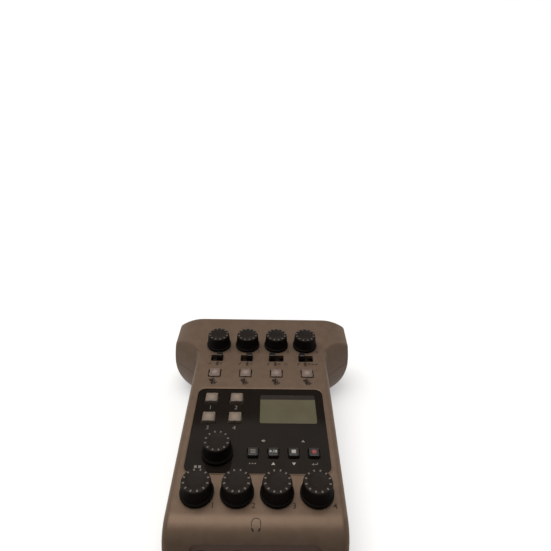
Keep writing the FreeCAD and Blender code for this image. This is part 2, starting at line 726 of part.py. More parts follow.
def make_bottom_shell(outside, inside):
    pillars = [floor_pillar(x, y, jack_board_foot()) for x, y in jack_post_places()]
    pillars += [floor_pillar(x, y, SIDE_BOARD_TOP - BOARD_THICKNESS) for x, y in side_pillar_places()]
    ribs = [box(input_x(i) - INPUT_RIB_THICKNESS / 2, input_x(i) + INPUT_RIB_THICKNESS / 2, INPUT_BACK,
                SHELL_LENGTH - 2 * WALL, GROUND_GAP + WALL / 2, INPUT_Z - INPUT_BARREL_DIAMETER / 2)
            for i in range(INPUTS)]
    shell = outside.cut(inside.cut(pillars + ribs + case_posts())).common(below_seam(-SEAM_GAP / 2))
    shell = fuse([shell, lip_ring()])
    half, front, back, top = battery_room()
    cover_half, cover_front, cover_back = cover_span()
    cutters = [rear_window(), front_window()]
    cutters.append(box(-half, half, cover_front + COVER_GAP, back, 0, GROUND_GAP + WALL + GAP))
    recess_depth = cover_back - cover_front + COVER_TRAVEL + 2 * COVER_GAP
    cutters.append(rounded_block(2 * (cover_half + COVER_GAP), recess_depth, COVER_RADIUS, 0,
                                 GROUND_GAP + COVER_THICKNESS + FINE_GAP, 0,
                                 (cover_front + cover_back - COVER_TRAVEL) / 2))
    cutters += side_openings()
    for x, y in POSTS:
        cutters.append(cylinder(CASE_SCREW_DIAMETER / 2 + FINE_GAP, x, y, 0, seam_z(y)))
        cutters.append(cylinder(CASE_SCREW_HEAD_DIAMETER / 2 + FINE_GAP, x, y, 0,
                                CASE_SCREW_HEAD_Z + CASE_SCREW_HEAD_HEIGHT))
    cutters += [cylinder(FOOT_DIAMETER / 2 + RUNNING_GAP, x, y, 0, GROUND_GAP + FOOT_POCKET) for x, y in FEET]
    cutters += [cylinder(BOARD_SCREW_DIAMETER / 2 + RUNNING_GAP, x, y, jack_board_foot() - BOARD_SCREW_BITE,
                         jack_board_foot()) for x, y in jack_post_places()]
    save("bottom_shell", shell.cut(cutters))


def side_openings():
    """Openings of the side sockets and the power switch in the walls."""
    openings = [side_opening(-1, y, usb_z(), USB_WIDTH + 2 * GAP, USB_HEIGHT + 2 * GAP, USB_HEIGHT / 2)
                for y in USB_ROWS]
    openings.append(side_opening(1, CARD_ROW, card_z(), CARD_SLOT_WIDTH + 2 * GAP, CARD_SLOT_HEIGHT + 2 * GAP,
                                 GAP))
    nose = PHONE_NOSE_DIAMETER + 2 * GAP
    openings.append(side_opening(1, PHONE_ROW, phone_z(), nose, nose, ROUND_END * nose))
    power_width = POWER_KNOB_WIDTH + POWER_TRAVEL + 2 * LEVER_END_GAP
    openings.append(side_opening(-1, POWER_ROW, power_z(), power_width, POWER_KNOB_HEIGHT + 2 * LEVER_END_GAP,
                                 POWER_RADIUS))
    return openings


def lip_ring():
    """Ring that joins the wall below the seam and rises inside the top shell, clear of its posts."""
    hollow = outer_form(WALL + LIP_THICKNESS)
    low = outer_form(WALL - LIP_BITE).cut(hollow).common(below_seam(-SEAM_GAP / 2)).cut(below_seam(-LIP_ROOT))
    high = outer_form(WALL + FINE_GAP).cut(hollow).common(below_seam(LIP_RISE)).cut(below_seam(-SEAM_GAP / 2))
    for x, y in POSTS:
        high = high.cut(cylinder(POST_DIAMETER / 2 + FINE_GAP, x, y, 0, FAR))
    return fuse([low, high]).cut(lip_notches())


def lip_notches():
    """Cutters that stop the lip beside the sockets and the power switch."""
    rooms = [(1, CARD_ROW, CARD_SOCKET_WIDTH), (1, PHONE_ROW, PHONE_BODY_WIDTH)]
    rooms.append((-1, POWER_ROW, POWER_KNOB_WIDTH + 2 * POWER_TRAVEL))
    return [box(min(0, side * FAR), max(0, side * FAR), row - width / 2 - GAP, row + width / 2 + GAP, 0, FAR)
            for side, row, width in rooms]


def make_control_window():
    plate = window_solid(0.0, -WINDOW_THICKNESS, 0.0)
    cutters = [screen_hole(), knob_hole((LEVEL_X, LEVEL_ROW))]
    cutters += [button_hole(button) for button in BUTTONS[:len(PAD_PLACES) + len(KEY_PLACES)]]
    save("control_window", plate.cut(cutters))


def make_display():
    """Display glass in the screen hole, on a module that stands on the main board."""
    glass = rounded_block(SCREEN_WIDTH - 2 * FINE_GAP, SCREEN_DEPTH - 2 * FINE_GAP, SCREEN_RADIUS,
                          -(WALL + FINE_GAP), -SCREEN_RECESS)
    width = SCREEN_WIDTH + 2 * DISPLAY_BORDER
    depth = SCREEN_DEPTH + 2 * DISPLAY_BORDER
    foot = -(WALL + FINE_GAP + DISPLAY_THICKNESS)
    module = rounded_block(width, depth, SCREEN_RADIUS, foot, -(WALL + FINE_GAP))
    rails = [rounded_block(width, DISPLAY_RAIL_WIDTH, FINE_GAP, BOARD_TOP, foot, 0,
                           side * (depth / 2 - DISPLAY_RAIL_INSET)) for side in (1, -1)]
    save("display_module", seat(fuse([glass, module] + rails), SCREEN_X, SCREEN_ROW))


def make_main_board():
    front = HEADPHONE_ROW - POT_DEPTH / 2 - BOARD_MARGIN
    back = GAIN_ROW + POT_DEPTH / 2 + BOARD_MARGIN
    width = 2 * (inner_x(front, back, WAIST_Z) - BOARD_SIDE_GAP)
    block = rounded_block(width, (back - front) / COS_TILT, BOARD_CORNER_RADIUS, BOARD_TOP - BOARD_THICKNESS,
                          BOARD_TOP)
    board = seat(block, 0, (front + back) / 2)
    hole = cylinder(BOARD_SCREW_DIAMETER / 2 + FINE_GAP, 0, 0, BOARD_TOP - 2 * BOARD_THICKNESS, 0)
    holes = [seat(hole, x, y) for x, y in PILLARS]
    holes += [cylinder(POST_DIAMETER / 2 + GAP, x, y, 0, FAR) for x, y in POSTS]
    save("main_board", board.cut(holes))


def make_board_screws():
    head_top = BOARD_TOP - BOARD_THICKNESS
    screws = []
    for x, y in PILLARS:
        head = cylinder(BOARD_SCREW_HEAD_DIAMETER / 2, 0, 0, head_top - BOARD_SCREW_HEAD_HEIGHT, head_top)
        shank = cylinder(BOARD_SCREW_DIAMETER / 2, 0, 0, head_top, BOARD_TOP + BOARD_SCREW_BITE)
        screws.append(seat(fuse([head, shank]), x, y))
    save("board_screws", Part.makeCompound(screws))


def make_case_screws():
    screws = []
    for x, y in POSTS:
        head_top = CASE_SCREW_HEAD_Z + CASE_SCREW_HEAD_HEIGHT
        head = cylinder(CASE_SCREW_HEAD_DIAMETER / 2, x, y, CASE_SCREW_HEAD_Z, head_top)
        shank = cylinder(CASE_SCREW_DIAMETER / 2, x, y, head_top, seam_z(y) + CASE_SCREW_BITE)
        screws.append(fuse([head, shank]))
    save("case_screws", Part.makeCompound(screws))


def make_pots():
    """Potentiometers under the knobs, each with the shaft that its knob turns on."""
    pots = []
    for place in KNOB_PLACES:
        body = rounded_block(POT_WIDTH, POT_DEPTH, POT_CORNER_RADIUS, BOARD_TOP, POT_TOP)
        shaft = cylinder(POT_SHAFT_DIAMETER / 2, 0, 0, POT_TOP, POT_SHAFT_RISE)
        pots.append(seat(fuse([body, shaft]), *place))
    save("potentiometers", Part.makeCompound(pots))


def make_tact_switches():
    switches = []
    for button in BUTTONS:
        body = rounded_block(TACT_SIZE, TACT_SIZE, TACT_CORNER_RADIUS, BOARD_TOP, BOARD_TOP + TACT_HEIGHT)
        plunger = cylinder(TACT_PLUNGER_DIAMETER / 2, 0, 0, BOARD_TOP + TACT_HEIGHT,
                           BOARD_TOP + TACT_HEIGHT + TACT_PLUNGER_HEIGHT)
        switches.append(seat(fuse([body, plunger]), *button[0]))
    save("tact_switches", Part.makeCompound(switches))


def make_switch_bodies():
    top = -(WALL + GAP + SLIDER_THICKNESS + GAP)
    body = rounded_block(SWITCH_BODY_WIDTH, SWITCH_BODY_DEPTH, SWITCH_BODY_RADIUS, BOARD_TOP, top)
    bodies = [seat(body, column_x(i), SWITCH_ROW) for i in range(COLUMNS)]
    save("input_switch_bodies", Part.makeCompound(bodies))


def make_knobs():
    names = [f"gain_knob_{i + 1}" for i in range(COLUMNS)]
    names += [f"headphone_knob_{i + 1}" for i in range(COLUMNS)]
    names += ["pad_level_knob"]
    for name, place in zip(names, KNOB_PLACES):
        save(name, seat(knob_shape(), *place))


def make_buttons():
    for i, place in enumerate(PAD_PLACES):
        save(f"sound_pad_{i + 1}", seat(button_shape(PAD_WIDTH, PAD_DEPTH, PAD_PROUD), *place))
    for name, place in zip(("menu_key", "play_key", "stop_key", "record_key"), KEY_PLACES):
        save(name, seat(button_shape(KEY_SIZE, KEY_SIZE, KEY_PROUD), *place))
    for i, place in enumerate(MUTE_PLACES):
        save(f"mute_button_{i + 1}", seat(button_shape(MUTE_WIDTH, MUTE_DEPTH, MUTE_PROUD), *place))


def make_input_switches():
    for i in range(COLUMNS):
        rest = SWITCH_REST_SIDES[i] * SWITCH_TRAVELS[i] / 2
        save(f"input_switch_{i + 1}", seat(switch_shape(), column_x(i) + rest, SWITCH_ROW))


def jack_board_top():
    return HEADPHONE_Z - JACK_BODY_HEIGHT / 2


def jack_board_foot():
    return jack_board_top() - BOARD_THICKNESS


def make_front_plate():
    plate = facing_block(FRONT_PLATE_WIDTH, FRONT_PLATE_BOTTOM, FRONT_PLATE_TOP, FRONT_PLATE_RADIUS,
                         FRONT_PLATE_FACE, FRONT_PLATE_FACE + FRONT_PLATE_THICKNESS)
    holes = [cylinder_y(JACK_NOSE_DIAMETER / 2 + GAP, headphone_x(i), HEADPHONE_Z, 0, JACK_BOARD_BACK)
             for i in range(COLUMNS)]
    save("front_jack_plate", plate.cut(holes))


def make_headphone_jacks():
    body_front = FRONT_PLATE_FACE + FRONT_PLATE_THICKNESS
    jacks = []
    for i in range(COLUMNS):
        x = headphone_x(i)
        half = JACK_BODY_WIDTH / 2
        body = box(x - half, x + half, body_front, body_front + JACK_BODY_DEPTH, jack_board_top(),
                   jack_board_top() + JACK_BODY_HEIGHT)
        nose = cylinder_y(JACK_NOSE_DIAMETER / 2, x, HEADPHONE_Z, FRONT_PLATE_FACE,
                          body_front + JACK_NOSE_ROOT)
        bore = cylinder_y(JACK_BORE_DIAMETER / 2, x, HEADPHONE_Z, FRONT_PLATE_FACE,
                          FRONT_PLATE_FACE + JACK_BORE_DEPTH)
        jacks.append(fuse([body, nose]).cut(bore))
    save("headphone_jacks", Part.makeCompound(jacks))


def make_jack_board():
    board = box(-JACK_BOARD_WIDTH / 2, JACK_BOARD_WIDTH / 2, FRONT_PLATE_FACE + FRONT_PLATE_THICKNESS + GAP,
                JACK_BOARD_BACK, jack_board_foot(), jack_board_top())
    save("jack_board", board.cut([cylinder(POST_DIAMETER / 2 + GAP, x, y, 0, FAR) for x, y in POSTS]))


def make_rear_plate():
    plate = facing_block(REAR_PLATE_WIDTH, REAR_PLATE_BOTTOM, REAR_PLATE_TOP, REAR_PLATE_RADIUS,
                         LENGTH - REAR_PLATE_THICKNESS, LENGTH)
    half = LATCH_WIDTH / 2 + GAP
    cutters = []
    for i in range(INPUTS):
        x = input_x(i)
        cutters.append(cylinder_y(INPUT_BARREL_DIAMETER / 2 + GAP, x, INPUT_Z, INPUT_BACK, FAR))
        cutters.append(box(x - half, x + half, INPUT_BACK, FAR, INPUT_Z, FAR))
    save("rear_plate", plate.cut(cutters))


def contact_places(x):
    places = []
    for degrees in CONTACT_ANGLES:
        angle = math.radians(degrees)
        places.append((x + CONTACT_RADIUS * math.cos(angle), INPUT_Z + CONTACT_RADIUS * math.sin(angle)))
    return places


def make_input_sockets():
    floor = INPUT_MOUTH - INPUT_BORE_DEPTH
    contacts = []
    for i in range(INPUTS):
        x = input_x(i)
        barrel = cylinder_y(INPUT_BARREL_DIAMETER / 2, x, INPUT_Z, INPUT_BACK, INPUT_MOUTH)
        room = cylinder_y(INPUT_BORE_DIAMETER / 2, x, INPUT_Z, floor, INPUT_MOUTH)
        island = cylinder_y(INPUT_ISLAND_DIAMETER / 2, x, INPUT_Z, INPUT_BACK, INPUT_MOUTH - GAP)
        holes = [cylinder_y(CONTACT_DIAMETER / 2 + RUNNING_GAP, cx, cz, INPUT_BACK, INPUT_MOUTH)
                 for cx, cz in contact_places(x)]
        save(f"input_socket_{i + 1}", fuse([barrel.cut(room), island]).cut(holes))
        contacts += [cylinder_y(CONTACT_DIAMETER / 2, cx, cz, INPUT_BACK, INPUT_BACK + CONTACT_LENGTH)
                     for cx, cz in contact_places(x)]
    save("input_contacts", Part.makeCompound(contacts))


def make_input_board():
    half = head_inner_x(INPUT_BACK - BOARD_THICKNESS, INPUT_BOARD_BOTTOM) - INPUT_BOARD_MARGIN
    board = box(-half, half, INPUT_BACK - BOARD_THICKNESS, INPUT_BACK, INPUT_BOARD_BOTTOM, INPUT_BOARD_TOP)
    save("input_board", board)


def make_latches():
    """Release tabs over the input sockets, pressed down to free a plug."""
    foot = INPUT_Z + INPUT_BARREL_DIAMETER / 2 + LATCH_TRAVEL + GAP
    for i in range(INPUTS):
        block = facing_block(LATCH_WIDTH, foot, REAR_PLATE_TOP, LATCH_EDGE_RADIUS,
                             LENGTH - LATCH_DEPTH, LENGTH, input_x(i))
        save(f"latch_tab_{i + 1}", block)


def make_side_board():
    board = box(-side_board_half(), side_board_half(), SIDE_BOARD_FRONT, SIDE_BOARD_BACK,
                SIDE_BOARD_TOP - BOARD_THICKNESS, SIDE_BOARD_TOP)
    save("side_board", board.cut([cylinder(POST_DIAMETER / 2 + GAP, x, y, 0, FAR) for x, y in POSTS]))


def make_usb_ports():
    ports = []
    room_width = USB_WIDTH - 2 * USB_WALL
    room_height = USB_HEIGHT - 2 * USB_WALL
    tongue_depth = USB_DEPTH - USB_BACK_WALL / 2 - USB_TONGUE_SETBACK
    for y in USB_ROWS:
        shell = turned_block(USB_WIDTH, USB_HEIGHT, ROUND_END * USB_HEIGHT, USB_DEPTH)
        room = turned_block(room_width, room_height, ROUND_END * room_height, USB_DEPTH - USB_BACK_WALL)
        tongue = turned_block(USB_TONGUE_WIDTH, USB_TONGUE_HEIGHT, RUNNING_GAP, tongue_depth)
        tongue.translate(Vector(USB_TONGUE_SETBACK, 0, 0))
        port = fuse([shell.cut(room), tongue])
        port.translate(Vector(SOCKET_RECESS - side_x(y, usb_z()), y, usb_z()))
        ports.append(port)
    save("usb_ports", Part.makeCompound(ports))


def make_card_socket():
    half = CARD_SOCKET_WIDTH / 2
    mouth = inner_x(CARD_ROW - half, CARD_ROW + half, SIDE_BOARD_TOP) - FINE_GAP
    body = box(mouth - CARD_SOCKET_DEPTH, mouth, CARD_ROW - half, CARD_ROW + half, SIDE_BOARD_TOP,
               SIDE_BOARD_TOP + CARD_SOCKET_HEIGHT)
    slot = turned_block(CARD_SLOT_WIDTH, CARD_SLOT_HEIGHT, RUNNING_GAP, CARD_SLOT_DEPTH + WALL)
    slot.translate(Vector(mouth - CARD_SLOT_DEPTH, CARD_ROW, card_z()))
    save("card_socket", body.cut(slot))


def make_phone_jack():
    half = PHONE_BODY_WIDTH / 2
    face = side_x(PHONE_ROW, phone_z()) - SOCKET_RECESS
    back = face - JACK_BORE_DEPTH - JACK_NOSE_ROOT
    mouth = inner_x(PHONE_ROW - half, PHONE_ROW + half, SIDE_BOARD_TOP) - FINE_GAP
    body = box(back, mouth, PHONE_ROW - half, PHONE_ROW + half, SIDE_BOARD_TOP,
               SIDE_BOARD_TOP + PHONE_BODY_HEIGHT)
    along = Vector(1, 0, 0)
    nose = Part.makeCylinder(PHONE_NOSE_DIAMETER / 2, JACK_BORE_DEPTH,
                             Vector(face - JACK_BORE_DEPTH, PHONE_ROW, phone_z()), along)
    bore = Part.makeCylinder(JACK_BORE_DIAMETER / 2, JACK_BORE_DEPTH,
                             Vector(face - JACK_BORE_DEPTH, PHONE_ROW, phone_z()), along)
    save("phone_jack", fuse([body, nose]).cut(bore))


def make_power_switch():
    """Sliding power knob in the left wall and the switch body behind it."""
    y = POWER_ROW - POWER_TRAVEL / 2
    slider_width = POWER_KNOB_WIDTH + POWER_TRAVEL
    slider_x = GAP - inner_x(y - slider_width / 2, POWER_ROW + slider_width / 2, power_z())
    knob_x = -side_x(POWER_ROW, power_z()) - POWER_KNOB_PROUD
    knob = turned_block(POWER_KNOB_WIDTH, POWER_KNOB_HEIGHT, POWER_RADIUS, slider_x - knob_x)
    knob.translate(Vector(knob_x, y, power_z()))
    slider = turned_block(slider_width, POWER_KNOB_HEIGHT + 2 * POWER_SLIDER_MARGIN, POWER_RADIUS,
                          POWER_SLIDER_THICKNESS)
    slider.translate(Vector(slider_x, y, power_z()))
    save("power_switch", fuse([knob, slider]))
    body_x = slider_x + POWER_SLIDER_THICKNESS + GAP
    body = box(body_x, body_x + POWER_BODY_DEPTH, POWER_ROW - POWER_BODY_WIDTH / 2,
               POWER_ROW + POWER_BODY_WIDTH / 2, SIDE_BOARD_TOP, SIDE_BOARD_TOP + POWER_BODY_HEIGHT)
    save("power_switch_body", body)


def make_batteries():
    half, front, back, top = battery_room()
    z = GROUND_GAP + WALL + GAP + CELL_DIAMETER / 2
    cells = []
    for i, y in enumerate(cell_rows()):
        side = 1 if i else -1
        body = Part.makeCylinder(CELL_DIAMETER / 2, CELL_LENGTH, Vector(-CELL_LENGTH / 2, y, z),
                                 Vector(1, 0, 0))
        tip = Part.makeCylinder(CELL_TIP_DIAMETER / 2, CELL_TIP_LENGTH, Vector(side * CELL_LENGTH / 2, y, z),
                                Vector(side, 0, 0))
        cells.append(fuse([body, tip]))
    save("battery_cells", Part.makeCompound(cells))
    outer = box(-half - BATTERY_BOX_WALL, half + BATTERY_BOX_WALL, front - BATTERY_BOX_WALL,
                back + BATTERY_BOX_WALL, GROUND_GAP + WALL, top + BATTERY_BOX_WALL)
    save("battery_box", outer.cut(box(-half, half, front, back, 0, top)))
    plates = []
    for side in (1, -1):
        inner = side * half
        x0 = min(inner, inner - side * CONTACT_PLATE_THICKNESS)
        plates.append(box(x0, x0 + CONTACT_PLATE_THICKNESS, front + GAP, back - GAP,
                          GROUND_GAP + WALL + CONTACT_PLATE_LIFT, top - GAP))
    save("battery_contacts", Part.makeCompound(plates))


def make_battery_cover():
    half, front, back = cover_span()
    cover = rounded_block(2 * half, back - front, COVER_RADIUS, GROUND_GAP, GROUND_GAP + COVER_THICKNESS, 0,
                          (front + back) / 2)
    save("battery_cover", cover)


def make_feet():
    feet = [cylinder(FOOT_DIAMETER / 2, x, y, 0, GROUND_GAP + FOOT_POCKET) for x, y in FEET]
    save("rubber_feet", Part.makeCompound(feet))


os.makedirs("parts", exist_ok=True)
case_outside = rounded_form()
case_inside = outer_form(WALL)
make_top_shell(case_outside, case_inside)
make_bottom_shell(case_outside, case_inside)
make_control_window()
make_display()
make_main_board()
make_board_screws()
make_case_screws()
make_pots()
make_tact_switches()
make_switch_bodies()
make_knobs()
make_buttons()
make_input_switches()
make_front_plate()
make_headphone_jacks()
make_jack_board()
make_rear_plate()
make_input_sockets()
make_input_board()
make_latches()
make_side_board()
make_usb_ports()
make_card_socket()
make_phone_jack()
make_power_switch()
make_batteries()
make_battery_cover()
make_feet()
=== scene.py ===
import math

import bmesh
import bpy
from mathutils import Matrix, Vector


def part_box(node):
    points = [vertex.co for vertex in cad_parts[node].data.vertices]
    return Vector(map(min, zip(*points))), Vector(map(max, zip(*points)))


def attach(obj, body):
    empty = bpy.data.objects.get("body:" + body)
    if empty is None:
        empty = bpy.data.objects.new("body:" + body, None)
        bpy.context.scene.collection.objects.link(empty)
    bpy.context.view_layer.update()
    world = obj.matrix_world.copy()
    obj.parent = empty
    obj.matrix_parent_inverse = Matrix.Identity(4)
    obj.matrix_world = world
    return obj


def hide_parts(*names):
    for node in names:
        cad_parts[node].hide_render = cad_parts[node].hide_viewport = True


# A podcast recorder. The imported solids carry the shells, sockets and inner parts, and
# the controls, display, symbols and small trim are built here. Sizes are millimetres
# in plan from the front edge, as in the part's source, and MM turns them into metres.

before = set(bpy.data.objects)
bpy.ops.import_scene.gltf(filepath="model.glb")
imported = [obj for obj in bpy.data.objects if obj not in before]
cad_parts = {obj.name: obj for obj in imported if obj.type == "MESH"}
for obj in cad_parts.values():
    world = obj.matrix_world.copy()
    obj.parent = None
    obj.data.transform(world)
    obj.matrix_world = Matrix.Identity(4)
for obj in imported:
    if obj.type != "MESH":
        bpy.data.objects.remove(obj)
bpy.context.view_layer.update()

MM = 0.001
LENGTH = 155.0
PANEL_TILT = math.radians(6.36)
PANEL_RISE = 24.0
NOSE_RADIUS = 12.8
NOSE_Z = 12.545
PRINT_DEPTH = 0.03
PRINT_PROUD = 0.03

# Finishes: where their two tones lie on the noise, depth of their bump, and the frosted plastic's scatter in metres
TONE_STOPS = (0.32, 0.68)
TONE_DETAIL = 4.0
BUMP_DETAIL = 3.0
BUMP_DEPTH = 0.00005
SCATTER_RADIUS = (1.0, 0.8, 0.65)
SCATTER_SCALE = 0.0015

COLUMNS = [(i - 1.5) * 17.7 for i in range(4)]
HEADPHONE_COLUMNS = [(i - 1.5) * 17.254 for i in range(4)]
GAIN_ROW = 122.7
SWITCH_ROW = 110.5
MUTE_ROW = 97.11
HEADPHONE_ROW = 20.3
LEVEL_PLACE = (-19.2, 41.2)
PADS = [(x, y) for y in (76.69, 63.01) for x in (-25.9, -12.5)]
KEYS = [(-2.55 + i * 9.6, 41.4) for i in range(4)]
SCREEN_PLACE = (14.75, 69.84)
SCREEN_WIDTH = 29.3
SCREEN_DEPTH = 20.1
SCREEN_GLASS = -1.3
WINDOW_MIDDLE = 57.35
WINDOW_DEPTH = 54.24
SWITCH_TRAVELS = (3.2, 3.2, 4.8, 4.8)
SWITCH_SIDES = (1, 1, -1, -1)

# Width, depth and height over the panel of each kind of button, and the flange below it
PAD_SIZE = (6.8, 6.6, 1.7)
MUTE_SIZE = (6.2, 6.6, 0.95)
KEY_SIZE = (5.0, 5.0, 1.5)
CONTROL_FOOT = -3.3
FLANGE_TOP = -2.5
FLANGE = 0.9

# Knobs: radius, height and ripple of each ring, from the bore outward and up, and the material of the band up to it
RIBS = 44
RIB_STEPS = 6
RIPPLE = 0.08
KNOB_ROWS = [
    (1.8, 6.3, 0, 0), (1.8, 0.62, 0, 0), (7.1, 0.62, 0, 0), (7.32, 0.74, 0, 0), (7.38, 0.95, 0, 0),
    (7.38, 1.55, 0, 0), (7.3, 1.76, 0, 0), (7.08, 1.88, 0, 0), (6.86, 1.98, 0, 0),
    (6.74, 2.3, RIPPLE, 0), (6.33, 7.7, RIPPLE, 0), (6.29, 8.0, RIPPLE / 4, 0), (6.22, 8.25, 0, 1),
    (6.08, 8.46, 0, 1), (5.88, 8.57, 0, 1), (4.3, 8.6, 0, 1), (4.18, 8.56, 0, 1), (4.06, 8.48, 0, 1),
    (2.0, 8.46, 0, 1)]
TICKS = 12
TICK_RADII = (4.8, 5.75)
TICK_WIDTH = 0.66
TICK_FOOT = 8.5
TICK_TOP = 8.65

# Levers: width, depth, corner and height of each ring, from the slider up, the material of each band between them,
# and the pale strip of painted highlight along the front edge
LEVER_ROWS = [
    (8.7, 6.8, 0.35, -3.4), (8.7, 6.8, 0.35, FLANGE_TOP), (3.5, 3.3, 0.35, FLANGE_TOP), (3.5, 3.3, 0.35, 0.0),
    (3.46, 3.26, 0.35, 2.95), (3.38, 3.18, 0.33, 3.2), (3.1, 2.9, 0.3, 3.36), (2.9, 2.7, 0.28, 3.36)]
LEVER_FINISHES = [2, 2, 2, 0, 0, 0, 0]
LEVER_HIGHLIGHT_STRIP = (-1.3, -1.42, 1.3, -1.2)
LEVER_HIGHLIGHT_HEIGHTS = (3.3, 3.4)

# Window rim: growth outward from the window's edge and height over the panel, round its section
WINDOW_CORNER = 4.0
RIM_ROWS = [(0.12, -0.02), (0.12, 0.02), (0.2, 0.06), (0.6, 0.2), (0.68, 0.2), (0.76, 0.12), (0.78, -0.02)]

# Display pane: gap round it, depth of its strip of painted shadow, and how far it is off the glass and below the
# panel
PANE_GAP = 0.06
SHADOW_STRIP_DEPTH = 3.4
PANE_LIFT = 0.02
PANE_SINK = 0.04

# Printed marks: sizes, then offsets from the control each stands at, then places on the panel and on the nose's arc
NUMBER_SIZE = 3.7
SMALL_NUMBER_SIZE = 2.8
BOLDER = -0.03
THINNER = 0.045
WELD = 0.0005
SWITCH_MICROPHONE = 2.9
MUTE_MICROPHONE = 4.6
MUTE_BAR = (-2.1, -1.7, 2.1, 1.7, 1.0)
MUTE_SYMBOL_LEAN = math.radians(48)
HEADPHONE_NUMBER = (7.3, -5.6)
GAIN_NUMBER = (7.2, -5.8)
PAD_NUMBER = -6.4
SWITCH_SYMBOLS = -5.0
KEY_SYMBOLS = -5.7
POINTER_NEAR = 8.0
POINTER_FAR = 9.8
POINTER_WIDTH = 0.4
MUTE_SYMBOL_SHIFT = -0.6
MUTE_SYMBOL_ROW = 90.4
SPEAKER_PLACE = (2.2, 48.8)
KEY_MARK_PLACE = (21.5, 48.6)
LEVEL_MARK_PLACE = (-27.5, 33.7)
NOSE_SYMBOL = 4.9


def linear(code):
    """Scene-linear RGBA of a colour written as #rrggbb."""
    channels = [int(code[i:i + 2], 16) / 255 for i in (1, 3, 5)]
    return [c / 12.92 if c <= 0.04045 else ((c + 0.055) / 1.055) ** 2.4 for c in channels] + [1.0]


def ranged(value, low, high, to_low=0.0, to_high=1.0):
    """Output of a node that maps a value from one range to another."""
    tree = value.node.id_data
    step = tree.nodes.new("ShaderNodeMapRange")
    for name, number in (("From Min", low), ("From Max", high), ("To Min", to_low), ("To Max", to_high)):
        step.inputs[name].default_value = number
    tree.links.new(value, step.inputs["Value"])
    return step.outputs["Result"]


def combined(operation, first, second):
    """Output of a maths node of two values."""
    tree = first.node.id_data
    step = tree.nodes.new("ShaderNodeMath")
    step.operation = operation
    tree.links.new(first, step.inputs[0])
    tree.links.new(second, step.inputs[1])
    return step.outputs["Value"]


def from_origin(place):
    """Output of the distance from the piece's own origin."""
    tree = place.node.id_data
    distance = tree.nodes.new("ShaderNodeVectorMath")
    distance.operation = "LENGTH"
    tree.links.new(place, distance.inputs[0])
    return distance.outputs["Value"]


def blended(factor, first, second):
    """Output of a colour that goes from a fixed one to a linked one."""
    tree = factor.node.id_data
    mix = tree.nodes.new("ShaderNodeMix")
    mix.data_type = "RGBA"
    mix.inputs["A"].default_value = first
    tree.links.new(factor, mix.inputs["Factor"])
    tree.links.new(second, mix.inputs["B"])
    return mix.outputs["Result"]


def noise(place, scale, detail):
    """Output of a noise texture."""
    tree = place.node.id_data
    texture = tree.nodes.new("ShaderNodeTexNoise")
    texture.inputs["Scale"].default_value = scale
    texture.inputs["Detail"].default_value = detail
    tree.links.new(place, texture.inputs["Vector"])
    return texture.outputs["Fac"]


def finish(name, dark, light, grain, roughness, bump=0.0, bump_grain=0.0, **values):
    """Moulded or painted surface: two close tones, uneven roughness and a fine bump."""
    material = bpy.data.materials.new(name)
    material.use_nodes = True
    nodes, links = material.node_tree.nodes, material.node_tree.links
    shader = nodes["Principled BSDF"]
    place = nodes.new("ShaderNodeTexCoord").outputs["Object"]
    tone = noise(place, grain, TONE_DETAIL)
    ramp = nodes.new("ShaderNodeValToRGB")
    for element, position, code in zip(ramp.color_ramp.elements, TONE_STOPS, (dark, light)):
        element.position = position
        element.color = linear(code)
    links.new(tone, ramp.inputs["Fac"])
    links.new(ramp.outputs["Color"], shader.inputs["Base Color"])
    links.new(ranged(tone, 0.0, 1.0, *roughness), shader.inputs["Roughness"])
    if bump:
        relief = nodes.new("ShaderNodeBump")
        relief.inputs["Strength"].default_value = bump
        relief.inputs["Distance"].default_value = BUMP_DEPTH
        links.new(noise(place, bump_grain, BUMP_DETAIL), relief.inputs["Height"])
        links.new(relief.outputs["Normal"], shader.inputs["Normal"])
    for key, value in values.items():
        shader.inputs[key.replace("_", " ")].default_value = value
    return material


def frosted(name, edge, glow_core, reach, scatter=0.35):
    """Milky plastic with a painted glow: it pales towards the piece's own origin, its middle."""
    material = finish(name, edge, edge, 900.0, (0.42, 0.55), 0.2, 6000.0)
    nodes, links = material.node_tree.nodes, material.node_tree.links
    shader = nodes["Principled BSDF"]
    tone = shader.inputs["Base Color"].links[0].from_socket
    place = next(n for n in nodes if n.type == "TEX_COORD")
    # Painted glow: the colour goes from the edge tone to the pale core towards the middle.
    fade = ranged(from_origin(place.outputs["Object"]), 0.0, reach * MM)
    fade.node.interpolation_type = "SMOOTHSTEP"
    links.new(blended(fade, linear(glow_core), tone), shader.inputs["Base Color"])
    shader.inputs["Subsurface Weight"].default_value = scatter
    shader.inputs["Subsurface Radius"].default_value = SCATTER_RADIUS
    shader.inputs["Subsurface Scale"].default_value = SCATTER_SCALE
    return material


SHELL = finish("shell_paint", "#665446", "#6c5a4c", 260.0, (0.35, 0.45), 0.35, 3800.0, Metallic=0.3,
               Specular_IOR_Level=0.3, Specular_Tint=(0.55, 0.42, 0.34, 1.0))
PLATE = finish("front_plate_plastic", "#664636", "#6e4c3b", 500.0, (0.5, 0.62), 0.4, 3000.0)
WINDOW = finish("window_gloss", "#171310", "#1b1612", 120.0, (0.04, 0.07), Specular_Tint=(1.0, 0.88, 0.78, 1.0))
KNOB_SIDE = finish("knob_rubber", "#120d0b", "#17120f", 1200.0, (0.6, 0.75), 0.4, 5000.0, Specular_IOR_Level=0.1)
KNOB_TOP = finish("knob_top", "#1c1510", "#221b15", 1500.0, (0.5, 0.6), 0.3, 5200.0, Specular_IOR_Level=0.12)
TICK = finish("tick_print", "#5f5850", "#696159", 2500.0, (0.5, 0.6), Specular_IOR_Level=0.1)
